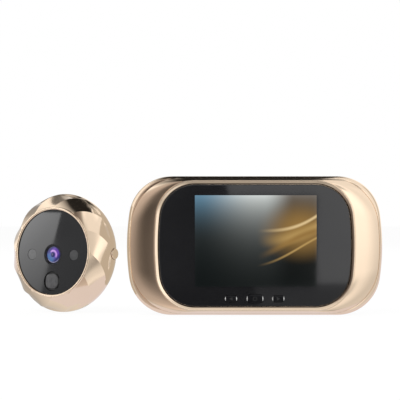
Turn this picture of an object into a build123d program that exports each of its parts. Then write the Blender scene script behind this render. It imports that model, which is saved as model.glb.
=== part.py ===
from build123d import *
import math
import os

# Digital door viewer: an indoor screen unit with its wall bracket, and an outdoor camera unit.
# Lengths are in millimetres and angles in degrees. +X is right, +Y goes into the door, +Z is up.
# The indoor unit is drawn about its own centre and stands on the ground plane. The outdoor unit is
# drawn about its own axis with its face towards minus Y, then turned and set beside it.

# Screen, and the opening, panel and casing that are sized round it
picture_width = 56.9
picture_height = 42.7
picture_margin = 0.9
screen_side_border = 6.05
screen_end_border = 2.45
screen_width = picture_width + screen_side_border + screen_side_border
screen_height = picture_height + screen_end_border + screen_end_border
opening_side_gap = 5.0
opening_top_gap = 1.5
key_row = 5.7
opening_width = screen_width + opening_side_gap + opening_side_gap
opening_height = screen_height + opening_top_gap + key_row
ledge_side = 5.5
ledge_end = 1.1
panel_width = opening_width + ledge_side + ledge_side
panel_height = opening_height + ledge_end + ledge_end
wing_width = 15.1
wing_height = 4.15
unit_width = panel_width + wing_width + wing_width
unit_height = panel_height + wing_height + wing_height

# Indoor unit, outside
corner_radius = 20.2
side_radius = 107.0
wall = 2.0
front_reach = 10.0
back_reach = 10.0
band_front = 2.5
band_back = 5.0
parting_depth = 1.5
back_inset = 5.5
crease_depth = 5.0
crease_side_inset = 1.3
crease_top_inset = 0.75
shoulder_angle = 62
wing_bow_share = 0.39
shoulder_steps = 2
wing_steps = 3
back_steps = 3
overrun = 0.5

# Front panel, lip and screen
panel_corner = 16.2
panel_side = 136.0
panel_raise = 0.2
panel_thickness = 1.5
panel_recess = 0.5
panel_gap = 0.1
adhesive_thickness = 0.1
lip_width = 2.3
lip_height = 1.6
lip_lean_side = 0.8
lip_lean_top = 0.3
lip_round = 0.55
opening_corner = 8.5
screen_shift = 0.35
screen_raise = panel_raise + (key_row - opening_top_gap) / 2
foam_thickness = 0.3
screen_glass_thickness = 1.2
backlight_thickness = 2.2
screen_gap = 0.3
flex_width = 16.0
flex_length = 14.0
flex_thickness = 0.2

# Keys
key_row_inset = 2.5
key_drop = opening_height / 2 - panel_raise - key_row_inset
left_key_shift = -11.2
right_key_shift = 10.9
side_key_width = 5.8
side_key_height = 3.1
power_key_width = 7.9
power_key_height = 4.0
key_proud = 0.5
key_gap = 0.12
key_round = 0.35
key_travel = 0.4
key_flange_rim = 0.4
key_flange_thickness = 0.8
key_flange_gap = 0.1
key_stem_radius = 1.0
key_stem_length = 0.9
key_stop_gap = 0.1
guide_width = 36.0
guide_height = 5.0
guide_thickness = 0.6
guide_hole_gap = 0.2
guide_leg = 1.8
switch_size = 3.2
switch_thickness = 1.2
plunger_radius = 0.8

# Main board and what is on it
board_side_margin = 11.6
board_end_margin = 5.15
board_width = unit_width - board_side_margin - board_side_margin
board_height = unit_height - board_end_margin - board_end_margin
board_corner = 8.0
board_thickness = 1.2
boss_radius = 2.6
boss_hole_gap = 0.4
boss_side_margin = 16.6
boss_end_margin = 12.15
boss_x = unit_width / 2 - boss_side_margin
boss_z = unit_height / 2 - boss_end_margin
rear_screw_radius = 1.1
rear_screw_gap = 0.1
rear_head_radius = 2.2
rear_head_height = 1.3
rear_head_depth = 0.3
rear_head_gap = 0.3
rear_screw_end = 3.0
post_radius = 2.2
post_margin = 3.0
post_x = opening_width / 2 + post_margin
post_z = 9.0
board_screw_radius = 0.8
board_screw_gap = 0.1
board_head_radius = 1.7
board_head_height = 1.0
board_screw_depth = 1.6
driver_cross = 0.5
driver_depth = 0.6
large_chip = 12.0
middle_chip = 8.0
small_chip = 4.6
chip_height = 1.3
usb_edge_gap = 22.5
usb_x = board_width / 2 - usb_edge_gap
usb_width = 7.8
usb_height = 2.6
usb_length = 6.0
usb_shell = 0.35
card_edge_gap = 16.0
card_x = card_edge_gap - board_width / 2
card_width = 13.0
card_height = 1.8
card_length = 14.0
card_shell = 0.4
socket_gap = 0.3
socket_back_gap = 0.2
ribbon_socket_width = 13.0
ribbon_socket_height = 3.2
ribbon_socket_reach = 3.8
ribbon_slot = 1.0
ribbon_slot_depth = 1.5

# Battery and its door
battery_width = 38.0
battery_height = 30.0
battery_thickness = 6.0
battery_round = 1.6
battery_gap = 0.3
battery_x = 29.0
tray_floor = 1.0
tray_wall = 1.5
door_gap = 0.3
door_seat_gap = 0.2
door_sink = 0.1
door_corner = 2.0
door_grip_width = 12.0
door_grip_height = 1.6
door_grip_depth = 0.5
door_grip_pitch = 2.6
door_grip_count = 3
contact_width = 1.6
contact_height = 4.0
contact_pitch = 12.0
contact_inset = 4.0
contact_gap = 0.15

# Speaker
speaker_edge_gap = 12.2
speaker_x = speaker_edge_gap - unit_width / 2
speaker_width = 8.0
speaker_height = 15.0
speaker_thickness = 3.4
speaker_gasket_thickness = 0.3
speaker_gasket_rim = 1.2
speaker_slot_width = 4.6
speaker_slot_height = 1.0
speaker_slot_pitch = 2.2
speaker_slot_count = 5

# Wall bracket and its captive nut
bracket_x = -17.5
bracket_width = 46.0
bracket_height = 40.0
bracket_corner = 4.0
bracket_thickness = 1.0
bracket_gap = 0.3
bracket_drop = 6.0
stud_x = 18.0
stud_z = 13.0
stud_neck_radius = 1.2
stud_head_radius = 2.2
stud_head_height = 1.2
stud_head_gap = 0.2
keyhole_gap = 0.2
keyhole_head_gap = 0.4
screw_hole_radius = 1.75
screw_hole_x = 10.0
screw_hole_z = 16.0
pad_width = 5.0
pad_margin = 0.5
pad_edge = 1.0
pad_thickness = 1.2
nut_bore_radius = 6.05
nut_neck_radius = 8.2
nut_running_gap = 0.08
nut_flange_radius = 9.5
nut_flange_gap = 0.1
nut_flange_height = 3.6
nut_clip_radius = 9.3
nut_clip_height = 0.8
knurl_count = 24
knurl_depth = 0.45
knurl_radius = 0.55
pocket_width = 23.0
pocket_rise = 11.5
pocket_fall = 18.0
pocket_wall = 1.5
pocket_floor = 1.0
pocket_floor_depth = 1.6
pocket_slot_gap = 0.5

# Outdoor unit, outside
dome_radius = 28.5
dome_axial = 15.3
petal_count = 12
petal_back = 0.5
petal_sections = 5
petal_dip_share = 0.027
petal_twist = -27
petal_start = -1
lip_plane = 9.7
dome_back = 7.5
dome_wall = 2.0
disc_radius = 20.3
disc_gap = 0.1
disc_thickness = 1.5
disc_recess = 1.0
ring_height = 0.6
ring_outer_radius = 21.9
ring_round = 0.25
face_wall = 1.5

# Camera, lamps and motion sensor
lens_drop = 1.2
lens_ring_radius = 4.6
lens_ring_gap = 0.06
lens_ring_proud = 0.15
lens_ring_depth = 2.2
lens_ring_round = 0.3
glass_radius = 3.5
glass_gap = 0.1
glass_edge = 0.25
glass_crown = 0.55
barrel_radius = 3.5
barrel_bore = 2.7
barrel_length = 4.6
holder_size = 9.0
holder_bore_gap = 0.05
holder_length = 4.2
sensor_size = 5.2
sensor_thickness = 0.6
sensor_room = 0.3
lamp_radius = 2.5
lamp_gap = 0.1
lamp_x = 12.2
lamp_sink = 0.15
lamp_crown = 0.5
wall_hole_gap = 0.7
motion_drop = 13.9
motion_radius = 4.55
motion_gap = 0.1
motion_base = 2.4
motion_sink = 0.4
motion_pillow = 7.0
motion_pillow_corner = 2.0
motion_pillow_height = 1.0
motion_pillow_round = 0.8
motion_skin = 0.9
motion_can_radius = 4.1
motion_can_height = 4.3
camera_board_radius = 20.0
camera_board_depth = 1.5
camera_board_thickness = 1.2
pillar_reach = 17.0
pillar_angles = (90, 210, 330)
pillar_foot_radius = 3.2
pillar_radius = 2.3
pillar_gap = 0.15
back_screw_radius = 1.0
back_screw_gap = 0.05
back_screw_length = 7.0
back_head_radius = 2.0
back_head_height = 1.2
back_head_sink = 0.2
camera_socket_raise = 9.0
camera_socket_width = 13.0
camera_socket_height = 3.2
camera_socket_thickness = 2.0

# Doorbell button
bell_depth = 1.2
bell_radius = 3.1
bell_gap = 0.15
bell_reach = 29.3
bell_seat = 25.2
bell_seat_gap = 0.2
bell_flange_radius = 4.1
bell_flange_thickness = 0.8
bell_flange_room = 0.4
bell_stem_radius = 1.2
bell_stem_length = 0.8
bell_travel = 0.6
bell_stop_gap = 0.1
bell_round = 0.5
bell_switch_width = 4.4
bell_switch_height = 6.0
bell_switch_thickness = 3.2
bell_plunger_length = 0.6

# Back plate, tube and gasket
plate_radius = 22.4
plate_thickness = 2.5
plate_gap = 0.1
tube_radius = 6.0
tube_bore_radius = 4.6
tube_end = 33.0
tube_collar_radius = 7.0
tube_collar_gap = 0.1
tube_flange_radius = 9.0
tube_flange_height = 1.6
tube_chamfer = 0.4
thread_start = 8.9
thread_pitch = 1.0
thread_width = 0.45
thread_depth = 0.4
gasket_outer_radius = 22.2
gasket_inner_radius = 18.6
gasket_thickness = 1.0

# Place of the outdoor unit beside the indoor one
outdoor_x = -91.3
outdoor_y = 20.0
outdoor_lift = 0.1
outdoor_yaw = 31.3
outdoor_tilt = 3.6

# Depths of the indoor stack, from the front face to the back face
lip_top = -front_reach
lip_seat = lip_top + lip_height
panel_front = lip_top + panel_recess
panel_back = panel_front + panel_thickness
ledge = panel_back + adhesive_thickness
front_inside = lip_seat + wall
glass_front = panel_back + foam_thickness
glass_back = glass_front + screen_glass_thickness
backlight_back = glass_back + backlight_thickness
board_front = backlight_back + screen_gap
board_back = board_front + board_thickness
back_inside = back_reach - wall
bracket_front = back_reach + bracket_gap
bracket_back = bracket_front + bracket_thickness
pad_back = bracket_back + pad_thickness
battery_front = back_inside + door_seat_gap - door_gap - battery_thickness
battery_end = battery_front + battery_thickness
tray_top = battery_front - door_seat_gap
tray_bottom = tray_top - tray_floor
door_width = battery_width + battery_gap + battery_gap + tray_wall
door_height = battery_height + battery_gap + battery_gap + tray_wall

# Depths of the outdoor stack
ring_top = -lip_plane - ring_height
disc_front = ring_top + disc_recess
disc_back = disc_front + disc_thickness
outdoor_ledge = disc_back + adhesive_thickness
face_back = outdoor_ledge + face_wall
camera_front = -camera_board_depth
camera_back = camera_front + camera_board_thickness
plate_front = dome_back - plate_thickness
gasket_back = dome_back + gasket_thickness

# Outlines of the indoor unit: half width, half height, corner radius, side radius
band_sizes = (unit_width / 2, unit_height / 2, corner_radius, side_radius)
crease_sizes = (
    unit_width / 2 - crease_side_inset,
    unit_height / 2 - crease_top_inset,
    corner_radius - crease_top_inset,
    side_radius,
)
panel_sizes = (panel_width / 2, panel_height / 2, panel_corner, panel_side)
foot_sizes = tuple(size + lip_width for size in panel_sizes)


def facing(depth, x=0, z=0):
    """Drawing plane seen from the front, with X to the right and Z up."""
    return Plane(origin=(x, depth, z), x_dir=(1, 0, 0), z_dir=(0, -1, 0))


def slab(outline, front, back, x=0, z=0):
    """Solid of one outline between two depths."""
    return extrude(facing(back, x, z) * outline, amount=back - front)


def rod(radius, front, back, x=0, z=0):
    """Round bar along the depth."""
    return slab(Circle(radius), front, back, x, z)


def block(width, height, front, back, x=0, z=0, corner=0):
    """Box along the depth, with rounded corners if asked."""
    outline = RectangleRounded(width, height, corner) if corner else Rectangle(width, height)
    return slab(outline, front, back, x, z)


def side_rod(radius, inner, outer, depth, z=0):
    """Round bar along X."""
    plane = Plane(origin=(inner, depth, z), x_dir=(0, 1, 0), z_dir=(1, 0, 0))
    return extrude(plane * Circle(radius), amount=outer - inner)


def group(pieces):
    """Separate solids kept together under one name."""
    return Part() + list(pieces)


def bulged(half_width, half_height, corner, side):
    """Rounded rectangle whose two ends are gentle arcs, tangent to the corners."""
    rise = half_height - corner
    side_centre = half_width - side
    corner_x = side_centre + math.sqrt((side - corner) ** 2 - rise ** 2)
    lean = math.atan2(rise, corner_x - side_centre)
    middle = (lean + math.pi / 2) / 2
    join = (side_centre + side * math.cos(lean), side * math.sin(lean))
    turn = (corner_x + corner * math.cos(middle), rise + corner * math.sin(middle))
    edges = []
    for sign in (1, -1):
        edges.append(Line((-sign * corner_x, sign * half_height), (sign * corner_x, sign * half_height)))
        edges.append(ThreePointArc(
            (sign * corner_x, sign * half_height),
            (sign * turn[0], sign * turn[1]),
            (sign * join[0], sign * join[1]),
        ))
        edges.append(ThreePointArc(
            (sign * join[0], sign * join[1]),
            (sign * half_width, 0),
            (sign * join[0], -sign * join[1]),
        ))
        edges.append(ThreePointArc(
            (sign * join[0], -sign * join[1]),
            (sign * turn[0], -sign * turn[1]),
            (sign * corner_x, -sign * half_height),
        ))
    return make_face(edges)


def inset(sizes, amount):
    """The four sizes of an outline drawn in by one amount."""
    return tuple(size - amount for size in sizes)


def between(first, second, share):
    """The four sizes of an outline part of the way from one to another."""
    return tuple(a + (b - a) * share for a, b in zip(first, second))


def skin(sections):
    """Smooth solid through outlines at their own depths."""
    return loft([facing(depth) * bulged(*sizes) for depth, sizes in sections])


def shoulder_sections(shrink):
    """Rounded edge from the straight band to the crease, drawn in by a wall for the inside."""
    sections = []
    for step in range(shoulder_steps + 1):
        angle = math.radians(shoulder_angle) * step / shoulder_steps
        depth_share = math.sin(angle) / math.sin(math.radians(shoulder_angle))
        inset_share = (1 - math.cos(angle)) / (1 - math.cos(math.radians(shoulder_angle)))
        depth = -band_front - (crease_depth - band_front) * depth_share + shrink
        sizes = inset(between(band_sizes, crease_sizes, inset_share), shrink)
        sections.append((depth, sizes))
    return sections


def wing_sections(shrink):
    """Gently bowed face from the crease to the foot of the lip."""
    sections = []
    for step in range(wing_steps + 1):
        share = step / wing_steps
        rise_share = share * (1 + wing_bow_share * (1 - share))
        depth = -crease_depth + (lip_seat + crease_depth) * rise_share + shrink
        sizes = inset(between(crease_sizes, foot_sizes, share), shrink)
        sections.append((depth, sizes))
    return sections


def back_sections(shrink):
    """Rounded edge from the straight band to the back face."""
    sections = []
    for step in range(back_steps + 1):
        angle = math.pi / 2 * step / back_steps
        depth = band_back + (back_reach - shrink - band_back) * math.sin(angle)
        amount = back_inset * (1 - math.cos(angle)) + shrink
        sections.append((depth, inset(band_sizes, amount)))
    return sections


def four_corners(x, z):
    """The four places at one distance each way from the centre."""
    return [(sx * x, sz * z) for sx in (1, -1) for sz in (1, -1)]


def driver_cut(x, z, front, back):
    """Cross recess of a screw head."""
    width = driver_cross
    length = board_head_radius
    return group([block(length, width, front, back, x, z), block(width, length, front, back, x, z)])


# Indoor casing

def front_housing():
    """Front shell: straight band, rounded shoulder, bowed wings and the seat of the panel."""
    shell = slab(bulged(*band_sizes), -band_front, parting_depth)
    shell += skin(shoulder_sections(0))
    shell += skin(wing_sections(0))
    core = slab(bulged(*inset(band_sizes, wall)), -band_front + wall, parting_depth + overrun)
    core += skin(shoulder_sections(wall))
    core += skin(wing_sections(wall))
    shell -= core
    recess = bulged(*inset(panel_sizes, -panel_gap))
    shell -= slab(recess, lip_seat - overrun, ledge, z=panel_raise)
    shell -= block(opening_width, opening_height, ledge - overrun, front_inside + overrun,
                   z=panel_raise, corner=opening_corner)
    for x, z in four_corners(boss_x, boss_z):
        shell += rod(boss_radius, front_inside - overrun, parting_depth, x, z)
        shell -= rod(rear_screw_radius + rear_screw_gap, -rear_screw_end - overrun,
                     parting_depth + overrun, x, z)
    for x, z in four_corners(post_x, post_z):
        shell += rod(post_radius, front_inside - overrun, board_front, x, z)
        shell -= rod(board_screw_radius + board_screw_gap, board_front - board_screw_depth - overrun,
                     board_front + overrun, x, z)
    return shell - socket_cuts()


def socket_cuts():
    """Slots for the charging socket and the memory card in the bottom wall."""
    bottom = -unit_height / 2
    reach = wall + crease_top_inset
    middle = bottom + reach / 2
    cuts = []
    for x, width, height in ((usb_x, usb_width, usb_height), (card_x, card_width, card_height)):
        cuts.append(block(width + socket_gap, reach + overrun + overrun,
                          board_back + socket_back_gap - socket_gap,
                          board_back + height + socket_gap, x, middle))
    return group(cuts)


def bezel_ring():
    """Raised gold lip round the front panel."""
    foot = foot_sizes
    top = (foot[0] - lip_lean_side, foot[1] - lip_lean_top, foot[2] - lip_lean_top, foot[3])
    ring = Pos(0, 0, panel_raise) * loft([facing(lip_seat) * bulged(*foot), facing(lip_top) * bulged(*top)])
    hole = bulged(*inset(panel_sizes, -panel_gap))
    ring -= slab(hole, lip_top - overrun, lip_seat + overrun, z=panel_raise)
    return fillet(ring.edges().group_by(Axis.Y)[0], radius=lip_round)


def key_places():
    """Name, place and size of each key."""
    return (
        ("button_left", left_key_shift, side_key_width, side_key_height),
        ("button_power", 0, power_key_width, power_key_height),
        ("button_right", right_key_shift, side_key_width, side_key_height),
    )


def pill(width, height, grow=0):
    """Outline of a key with round ends."""
    return SlotOverall(width + grow + grow, height + grow + grow)


def front_panel():
    """Black glossy panel with three key holes."""
    panel = slab(bulged(*panel_sizes), panel_front, panel_back, z=panel_raise)
    for name, x, width, height in key_places():
        panel -= slab(pill(width, height, key_gap), panel_front - overrun, panel_back + overrun, x, -key_drop)
    return panel


def panel_adhesive():
    """Adhesive frame between the panel and its ledge."""
    frame = slab(bulged(*panel_sizes), panel_back, ledge, z=panel_raise)
    frame -= block(opening_width, opening_height, panel_back - overrun, ledge + overrun,
                   z=panel_raise, corner=opening_corner)
    return frame


# Screen

def lcd_foam_frame():
    """Foam frame between the panel and the screen."""
    frame = block(screen_width, screen_height, panel_back, glass_front, screen_shift, screen_raise)
    window_width = picture_width + picture_margin + picture_margin
    window_height = picture_height + picture_margin + picture_margin
    frame -= block(window_width, window_height, panel_back - overrun, glass_front + overrun,
                   screen_shift, screen_raise)
    return frame


def lcd_glass():
    """Glass of the screen."""
    return block(screen_width, screen_height, glass_front, glass_back, screen_shift, screen_raise)


def lcd_backlight():
    """Backlight tray behind the glass."""
    return block(screen_width, screen_height, glass_back, backlight_back, screen_shift, screen_raise)


def lcd_flex():
    """Short lead of the screen, folded flat behind the backlight."""
    drop = screen_raise - screen_height / 2 + flex_length / 2
    return block(flex_width, flex_length, backlight_back, backlight_back + flex_thickness,
                 screen_shift, drop)


# Keys

def key(width, height, x):
    """One key: cap, flange behind the panel and stem."""
    flange_front = panel_back + key_flange_gap
    flange_back = flange_front + key_flange_thickness
    cap = slab(pill(width, height), panel_front - key_proud, flange_back, x, -key_drop)
    cap = fillet(cap.edges().group_by(Axis.Y)[0], radius=key_round)
    cap += slab(pill(width, height, key_flange_rim), flange_front, flange_back, x, -key_drop)
    cap += rod(key_stem_radius, flange_back - overrun, flange_back + key_stem_length, x, -key_drop)
    return cap


def stem_end():
    """Depth at which the key stems end at rest."""
    return panel_back + key_flange_gap + key_flange_thickness + key_stem_length


def button_guide():
    """Frame with two legs that keeps the three keys in line."""
    flange_back = panel_back + key_flange_gap + key_flange_thickness
    front = flange_back + key_travel + key_stop_gap
    guide = block(guide_width, guide_height, front, front + guide_thickness, 0, -key_drop)
    for sign in (1, -1):
        leg_x = sign * (guide_width - guide_leg) / 2
        guide += block(guide_leg, guide_height, front, board_front, leg_x, -key_drop)
    for name, x, width, height in key_places():
        guide -= rod(key_stem_radius + guide_hole_gap, front - overrun,
                     front + guide_thickness + overrun, x, -key_drop)
    return guide


def key_switches():
    """Three tact switches under the keys."""
    switches = []
    for name, x, width, height in key_places():
        body = block(switch_size, switch_size, board_front - switch_thickness, board_front, x, -key_drop)
        body += rod(plunger_radius, stem_end() + key_travel + key_stop_gap, board_front, x, -key_drop)
        switches.append(body)
    return group(switches)


# Main board

def main_board():
    """Board with clearance for the casing's bosses and holes for its own screws."""
    board = block(board_width, board_height, board_front, board_back, corner=board_corner)
    for x, z in four_corners(boss_x, boss_z):
        board -= rod(boss_radius + boss_hole_gap, board_front - overrun, board_back + overrun, x, z)
    for x, z in four_corners(post_x, post_z):
        board -= rod(board_screw_radius + board_screw_gap, board_front - overrun, board_back + overrun, x, z)
    return board


def board_chips():
    """Processor, memory, power and radio chips on the back of the board."""
    place_shares = (
        (0.02, 0.5, large_chip, large_chip),
        (0.32, 0.56, middle_chip, large_chip),
        (-0.3, 0.6, middle_chip, middle_chip),
        (0.55, 0.62, middle_chip, small_chip),
        (-0.58, 0.62, small_chip, small_chip),
        (0.7, -0.6, small_chip, middle_chip),
        (-0.3, -0.1, small_chip, small_chip),
        (0.15, -0.66, middle_chip, small_chip),
    )
    chips = []
    for x_share, z_share, width, height in place_shares:
        chips.append(block(width, height, board_back, board_back + chip_height,
                           x_share * board_width / 2, z_share * board_height / 2))
    return group(chips)


def board_screws():
    """Four screws that hold the board on its posts."""
    screws = []
    head_back = board_back + board_head_height
    for x, z in four_corners(post_x, post_z):
        screw = rod(board_screw_radius, board_front - board_screw_depth, board_back + overrun, x, z)
        screw += rod(board_head_radius, board_back, head_back, x, z)
        screw -= driver_cut(x, z, head_back - driver_depth, head_back + overrun)
        screws.append(screw)
    return group(screws)


def edge_socket(x, width, height, length, shell):
    """Open metal socket that reaches from the board to the bottom wall."""
    bottom = -unit_height / 2 + wall + crease_top_inset + socket_back_gap
    middle = bottom + length / 2
    socket = block(width, length, board_back, board_back + height, x, middle)
    inner_width = width - shell - shell
    socket -= block(inner_width, length, board_back + shell, board_back + height - shell, x, middle - shell)
    return socket


def ribbon_socket():
    """Socket for the flat camera lead, which reaches through the pocket floor."""
    back = board_back + ribbon_socket_reach
    socket = block(ribbon_socket_width, ribbon_socket_height, board_back, back, bracket_x, -ribbon_drop())
    slot_width = ribbon_socket_width - ribbon_slot - ribbon_slot
    socket -= block(slot_width, ribbon_slot, back - ribbon_slot_depth, back + overrun, bracket_x, -ribbon_drop())
    return socket


def ribbon_drop():
    """How far the ribbon socket lies below the centre: low in the pocket."""
    return pocket_fall - ribbon_socket_height


# Battery

def battery_pack():
    """Flat lithium pack with rounded edges."""
    pack = block(battery_width, battery_height, battery_front, battery_end, battery_x,
                 corner=battery_round)
    return fillet(pack.edges().group_by(Axis.Y)[0] + pack.edges().group_by(Axis.Y)[-1], radius=battery_round / 2)


def contact_places():
    """Places of the two battery contacts."""
    x = battery_x - battery_width / 2 + contact_inset
    return [(x, sign * contact_pitch / 2) for sign in (1, -1)]


def battery_contacts():
    """Two contact posts from the board through the tray floor."""
    return group(block(contact_width, contact_height, board_back, battery_front - contact_gap, x, z)
                 for x, z in contact_places())


def battery_door():
    """Flush battery door with grip grooves."""
    front = back_inside + door_seat_gap
    back = back_reach - door_sink
    door = block(door_width, door_height, front, back, battery_x, corner=door_corner)
    for index in range(door_grip_count):
        z = (index - (door_grip_count - 1) / 2) * door_grip_pitch
        groove_x = battery_x + door_width / 2 - door_grip_width / 2 - door_corner
        door -= block(door_grip_width, door_grip_height, back - door_grip_depth, back + overrun,
                      groove_x, z, corner=door_grip_height / 3)
    return door


# Rear casing

def rear_cover():
    """Rear shell with the battery tray, the ribbon pocket, keyholes and sound slots."""
    shell = slab(bulged(*band_sizes), parting_depth, band_back)
    shell += skin(back_sections(0))
    core = slab(bulged(*inset(band_sizes, wall)), parting_depth - overrun, band_back)
    core += skin(back_sections(wall))
    shell -= core
    tray_width = battery_width + battery_gap + battery_gap + tray_wall + tray_wall
    tray_height = battery_height + battery_gap + battery_gap + tray_wall + tray_wall
    shell += block(tray_width, tray_height, tray_bottom, back_inside + overrun, battery_x)
    shell -= block(tray_width - tray_wall - tray_wall, tray_height - tray_wall - tray_wall,
                   tray_top, back_reach + overrun, battery_x)
    shell -= block(door_width + door_gap + door_gap, door_height + door_gap + door_gap,
                   back_inside, back_reach + overrun, battery_x, corner=door_corner + door_gap)
    for x, z in contact_places():
        shell -= block(contact_width + contact_gap + contact_gap, contact_height + contact_gap + contact_gap,
                       tray_bottom - overrun, tray_top + overrun, x, z)
    shell = add_pocket(shell)
    shell = add_rear_bosses(shell)
    return shell - keyholes() - speaker_slots()


def add_pocket(shell):
    """Walled pocket that takes the nut, the tube's end and the spare ribbon."""
    height = pocket_rise + pocket_fall
    middle = (pocket_rise - pocket_fall) / 2
    floor_front = pocket_floor_depth - pocket_floor
    shell += block(pocket_width + pocket_wall + pocket_wall, height + pocket_wall + pocket_wall,
                   floor_front, back_inside + overrun, bracket_x, middle)
    shell -= block(pocket_width, height, pocket_floor_depth, back_reach + overrun, bracket_x, middle)
    slot_width = ribbon_socket_width + pocket_slot_gap + pocket_slot_gap
    slot_height = ribbon_socket_height + pocket_slot_gap + pocket_slot_gap
    shell -= block(slot_width, slot_height, floor_front - overrun, pocket_floor_depth + overrun,
                   bracket_x, -ribbon_drop())
    return shell


def add_rear_bosses(shell):
    """Screw tubes with sunk head seats."""
    seat = back_reach - rear_head_depth - rear_head_height
    for x, z in four_corners(boss_x, boss_z):
        shell += rod(boss_radius + rear_head_gap, parting_depth, back_inside + overrun, x, z)
        shell -= rod(rear_screw_radius + rear_screw_gap, parting_depth - overrun, back_reach + overrun, x, z)
        shell -= rod(rear_head_radius + rear_head_gap, seat, back_reach + overrun, x, z)
    return shell


def keyholes():
    """Four keyholes: a narrow slot above a wide circle."""
    cuts = []
    slot_radius = stud_neck_radius + keyhole_gap
    head_radius = stud_head_radius + keyhole_head_gap
    for x, z in four_corners(stud_x, stud_z):
        cut = rod(slot_radius, back_inside - overrun, back_reach + overrun, bracket_x + x, z)
        cut += rod(head_radius, back_inside - overrun, back_reach + overrun, bracket_x + x, z - bracket_drop)
        cut += block(slot_radius + slot_radius, bracket_drop, back_inside - overrun, back_reach + overrun,
                     bracket_x + x, z - bracket_drop / 2)
        cuts.append(cut)
    return group(cuts)


def speaker_slots():
    """Row of sound slots in the back face."""
    slots = []
    for index in range(speaker_slot_count):
        z = (index - (speaker_slot_count - 1) / 2) * speaker_slot_pitch
        outline = SlotOverall(speaker_slot_width, speaker_slot_height)
        slots.append(slab(outline, back_inside - overrun, back_reach + overrun, speaker_x, z))
    return group(slots)


def rear_screws():
    """Four casing screws."""
    screws = []
    seat = back_reach - rear_head_depth - rear_head_height
    head_back = back_reach - rear_head_depth
    for x, z in four_corners(boss_x, boss_z):
        screw = rod(rear_screw_radius, -rear_screw_end, seat + overrun, x, z)
        screw += rod(rear_head_radius, seat, head_back, x, z)
        screw -= driver_cut(x, z, head_back - driver_depth, head_back + overrun)
        screws.append(screw)
    return group(screws)


def speaker():
    """Small box speaker."""
    back = back_inside - speaker_gasket_thickness
    return block(speaker_width, speaker_height, back - speaker_thickness, back, speaker_x,
                 corner=speaker_gasket_rim)


def speaker_gasket():
    """Foam ring between the speaker and the sound slots."""
    front = back_inside - speaker_gasket_thickness
    gasket = block(speaker_width, speaker_height, front, back_inside, speaker_x, corner=speaker_gasket_rim)
    hole_width = speaker_width - speaker_gasket_rim - speaker_gasket_rim
    hole_height = speaker_height - speaker_gasket_rim - speaker_gasket_rim
    gasket -= block(hole_width, hole_height, front - overrun, back_inside + overrun, speaker_x)
    return gasket


# Wall bracket

def mounting_bracket():
    """Steel plate with the nut's hole and four screw holes."""
    plate = block(bracket_width, bracket_height, bracket_front, bracket_back, bracket_x,
                  corner=bracket_corner)
    plate -= rod(nut_neck_radius + nut_running_gap, bracket_front - overrun, bracket_back + overrun, bracket_x)
    for x, z in four_corners(screw_hole_x, screw_hole_z):
        plate -= rod(screw_hole_radius, bracket_front - overrun, bracket_back + overrun, bracket_x + x, z)
    return plate


def bracket_studs():
    """Four mushroom studs that hang the unit on the bracket."""
    studs = []
    head_back = back_inside - stud_head_gap
    for x, z in four_corners(stud_x, stud_z):
        stud = rod(stud_neck_radius, head_back - overrun, bracket_front, bracket_x + x, z)
        stud += rod(stud_head_radius, head_back - stud_head_height, head_back, bracket_x + x, z)
        studs.append(stud)
    return group(studs)


def adhesive_pads():
    """Two foam pads that hold the plate on the door."""
    reach = bracket_width / 2 - pad_margin - pad_width / 2
    return group(block(pad_width, bracket_height - pad_edge - pad_edge, bracket_back, pad_back,
                       bracket_x + sign * reach, corner=pad_edge)
                 for sign in (1, -1))


def bracket_nut():
    """Flanged nut with a grooved rim, captive in the plate."""
    flange_back = bracket_front - nut_flange_gap
    flange_front = flange_back - nut_flange_height
    clip_front = bracket_back + nut_flange_gap
    nut = rod(nut_neck_radius, flange_back - overrun, clip_front, bracket_x)
    nut += rod(nut_flange_radius, flange_front, flange_back, bracket_x)
    for index in range(knurl_count):
        angle = math.radians(360 * index / knurl_count)
        reach = nut_flange_radius + knurl_radius - knurl_depth
        nut -= rod(knurl_radius, flange_front - overrun, flange_back + overrun,
                   bracket_x + reach * math.cos(angle), reach * math.sin(angle))
    nut += rod(nut_neck_radius, clip_front - overrun, clip_front + nut_clip_height, bracket_x)
    return nut - rod(nut_bore_radius, flange_front - overrun, clip_front + nut_clip_height + overrun, bracket_x)


def nut_clip():
    """Retaining ring pressed on the nut's neck behind the plate."""
    front = bracket_back + nut_flange_gap
    ring = Circle(nut_clip_radius) - Circle(nut_neck_radius)
    return slab(ring, front, front + nut_clip_height, bracket_x)


# Outdoor casing

def dome_at(depth, radius, axial):
    """Radius of the rounded casing at one depth."""
    return radius * math.sqrt(1 - (depth / axial) ** 2)


def petal_outline(radius, turn):
    """Twelve shallow arcs that meet in ridges."""
    edges = []
    step = 360 / petal_count
    for index in range(petal_count):
        start = math.radians(petal_start + turn + step * index)
        middle = start + math.radians(step) / 2
        end = start + math.radians(step)
        dip = radius * math.cos(math.radians(step) / 2) * petal_dip_share
        low = radius - dip
        edges.append(ThreePointArc(
            (radius * math.cos(start), radius * math.sin(start)),
            (low * math.cos(middle), low * math.sin(middle)),
            (radius * math.cos(end), radius * math.sin(end)),
        ))
    return make_face(edges)


def turned(points):
    """Solid turned about the depth axis from arcs and lines: each stretch has two or three points."""
    edges = [ThreePointArc(*stretch) if len(stretch) == 3 else Line(*stretch) for stretch in points]
    return revolve(make_face(edges), axis=Axis.Y)


def dome_solid(front, back, radius, axial):
    """Turned barrel whose side is an arc through the rounded casing's radii."""
    middle = (front + back) / 2
    near = (dome_at(front, radius, axial), front)
    centre = (dome_at(middle, radius, axial), middle)
    far = (dome_at(back, radius, axial), back)
    return turned([(near, centre, far), (far, (0, back)), ((0, back), (0, front)), ((0, front), near)])


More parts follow.
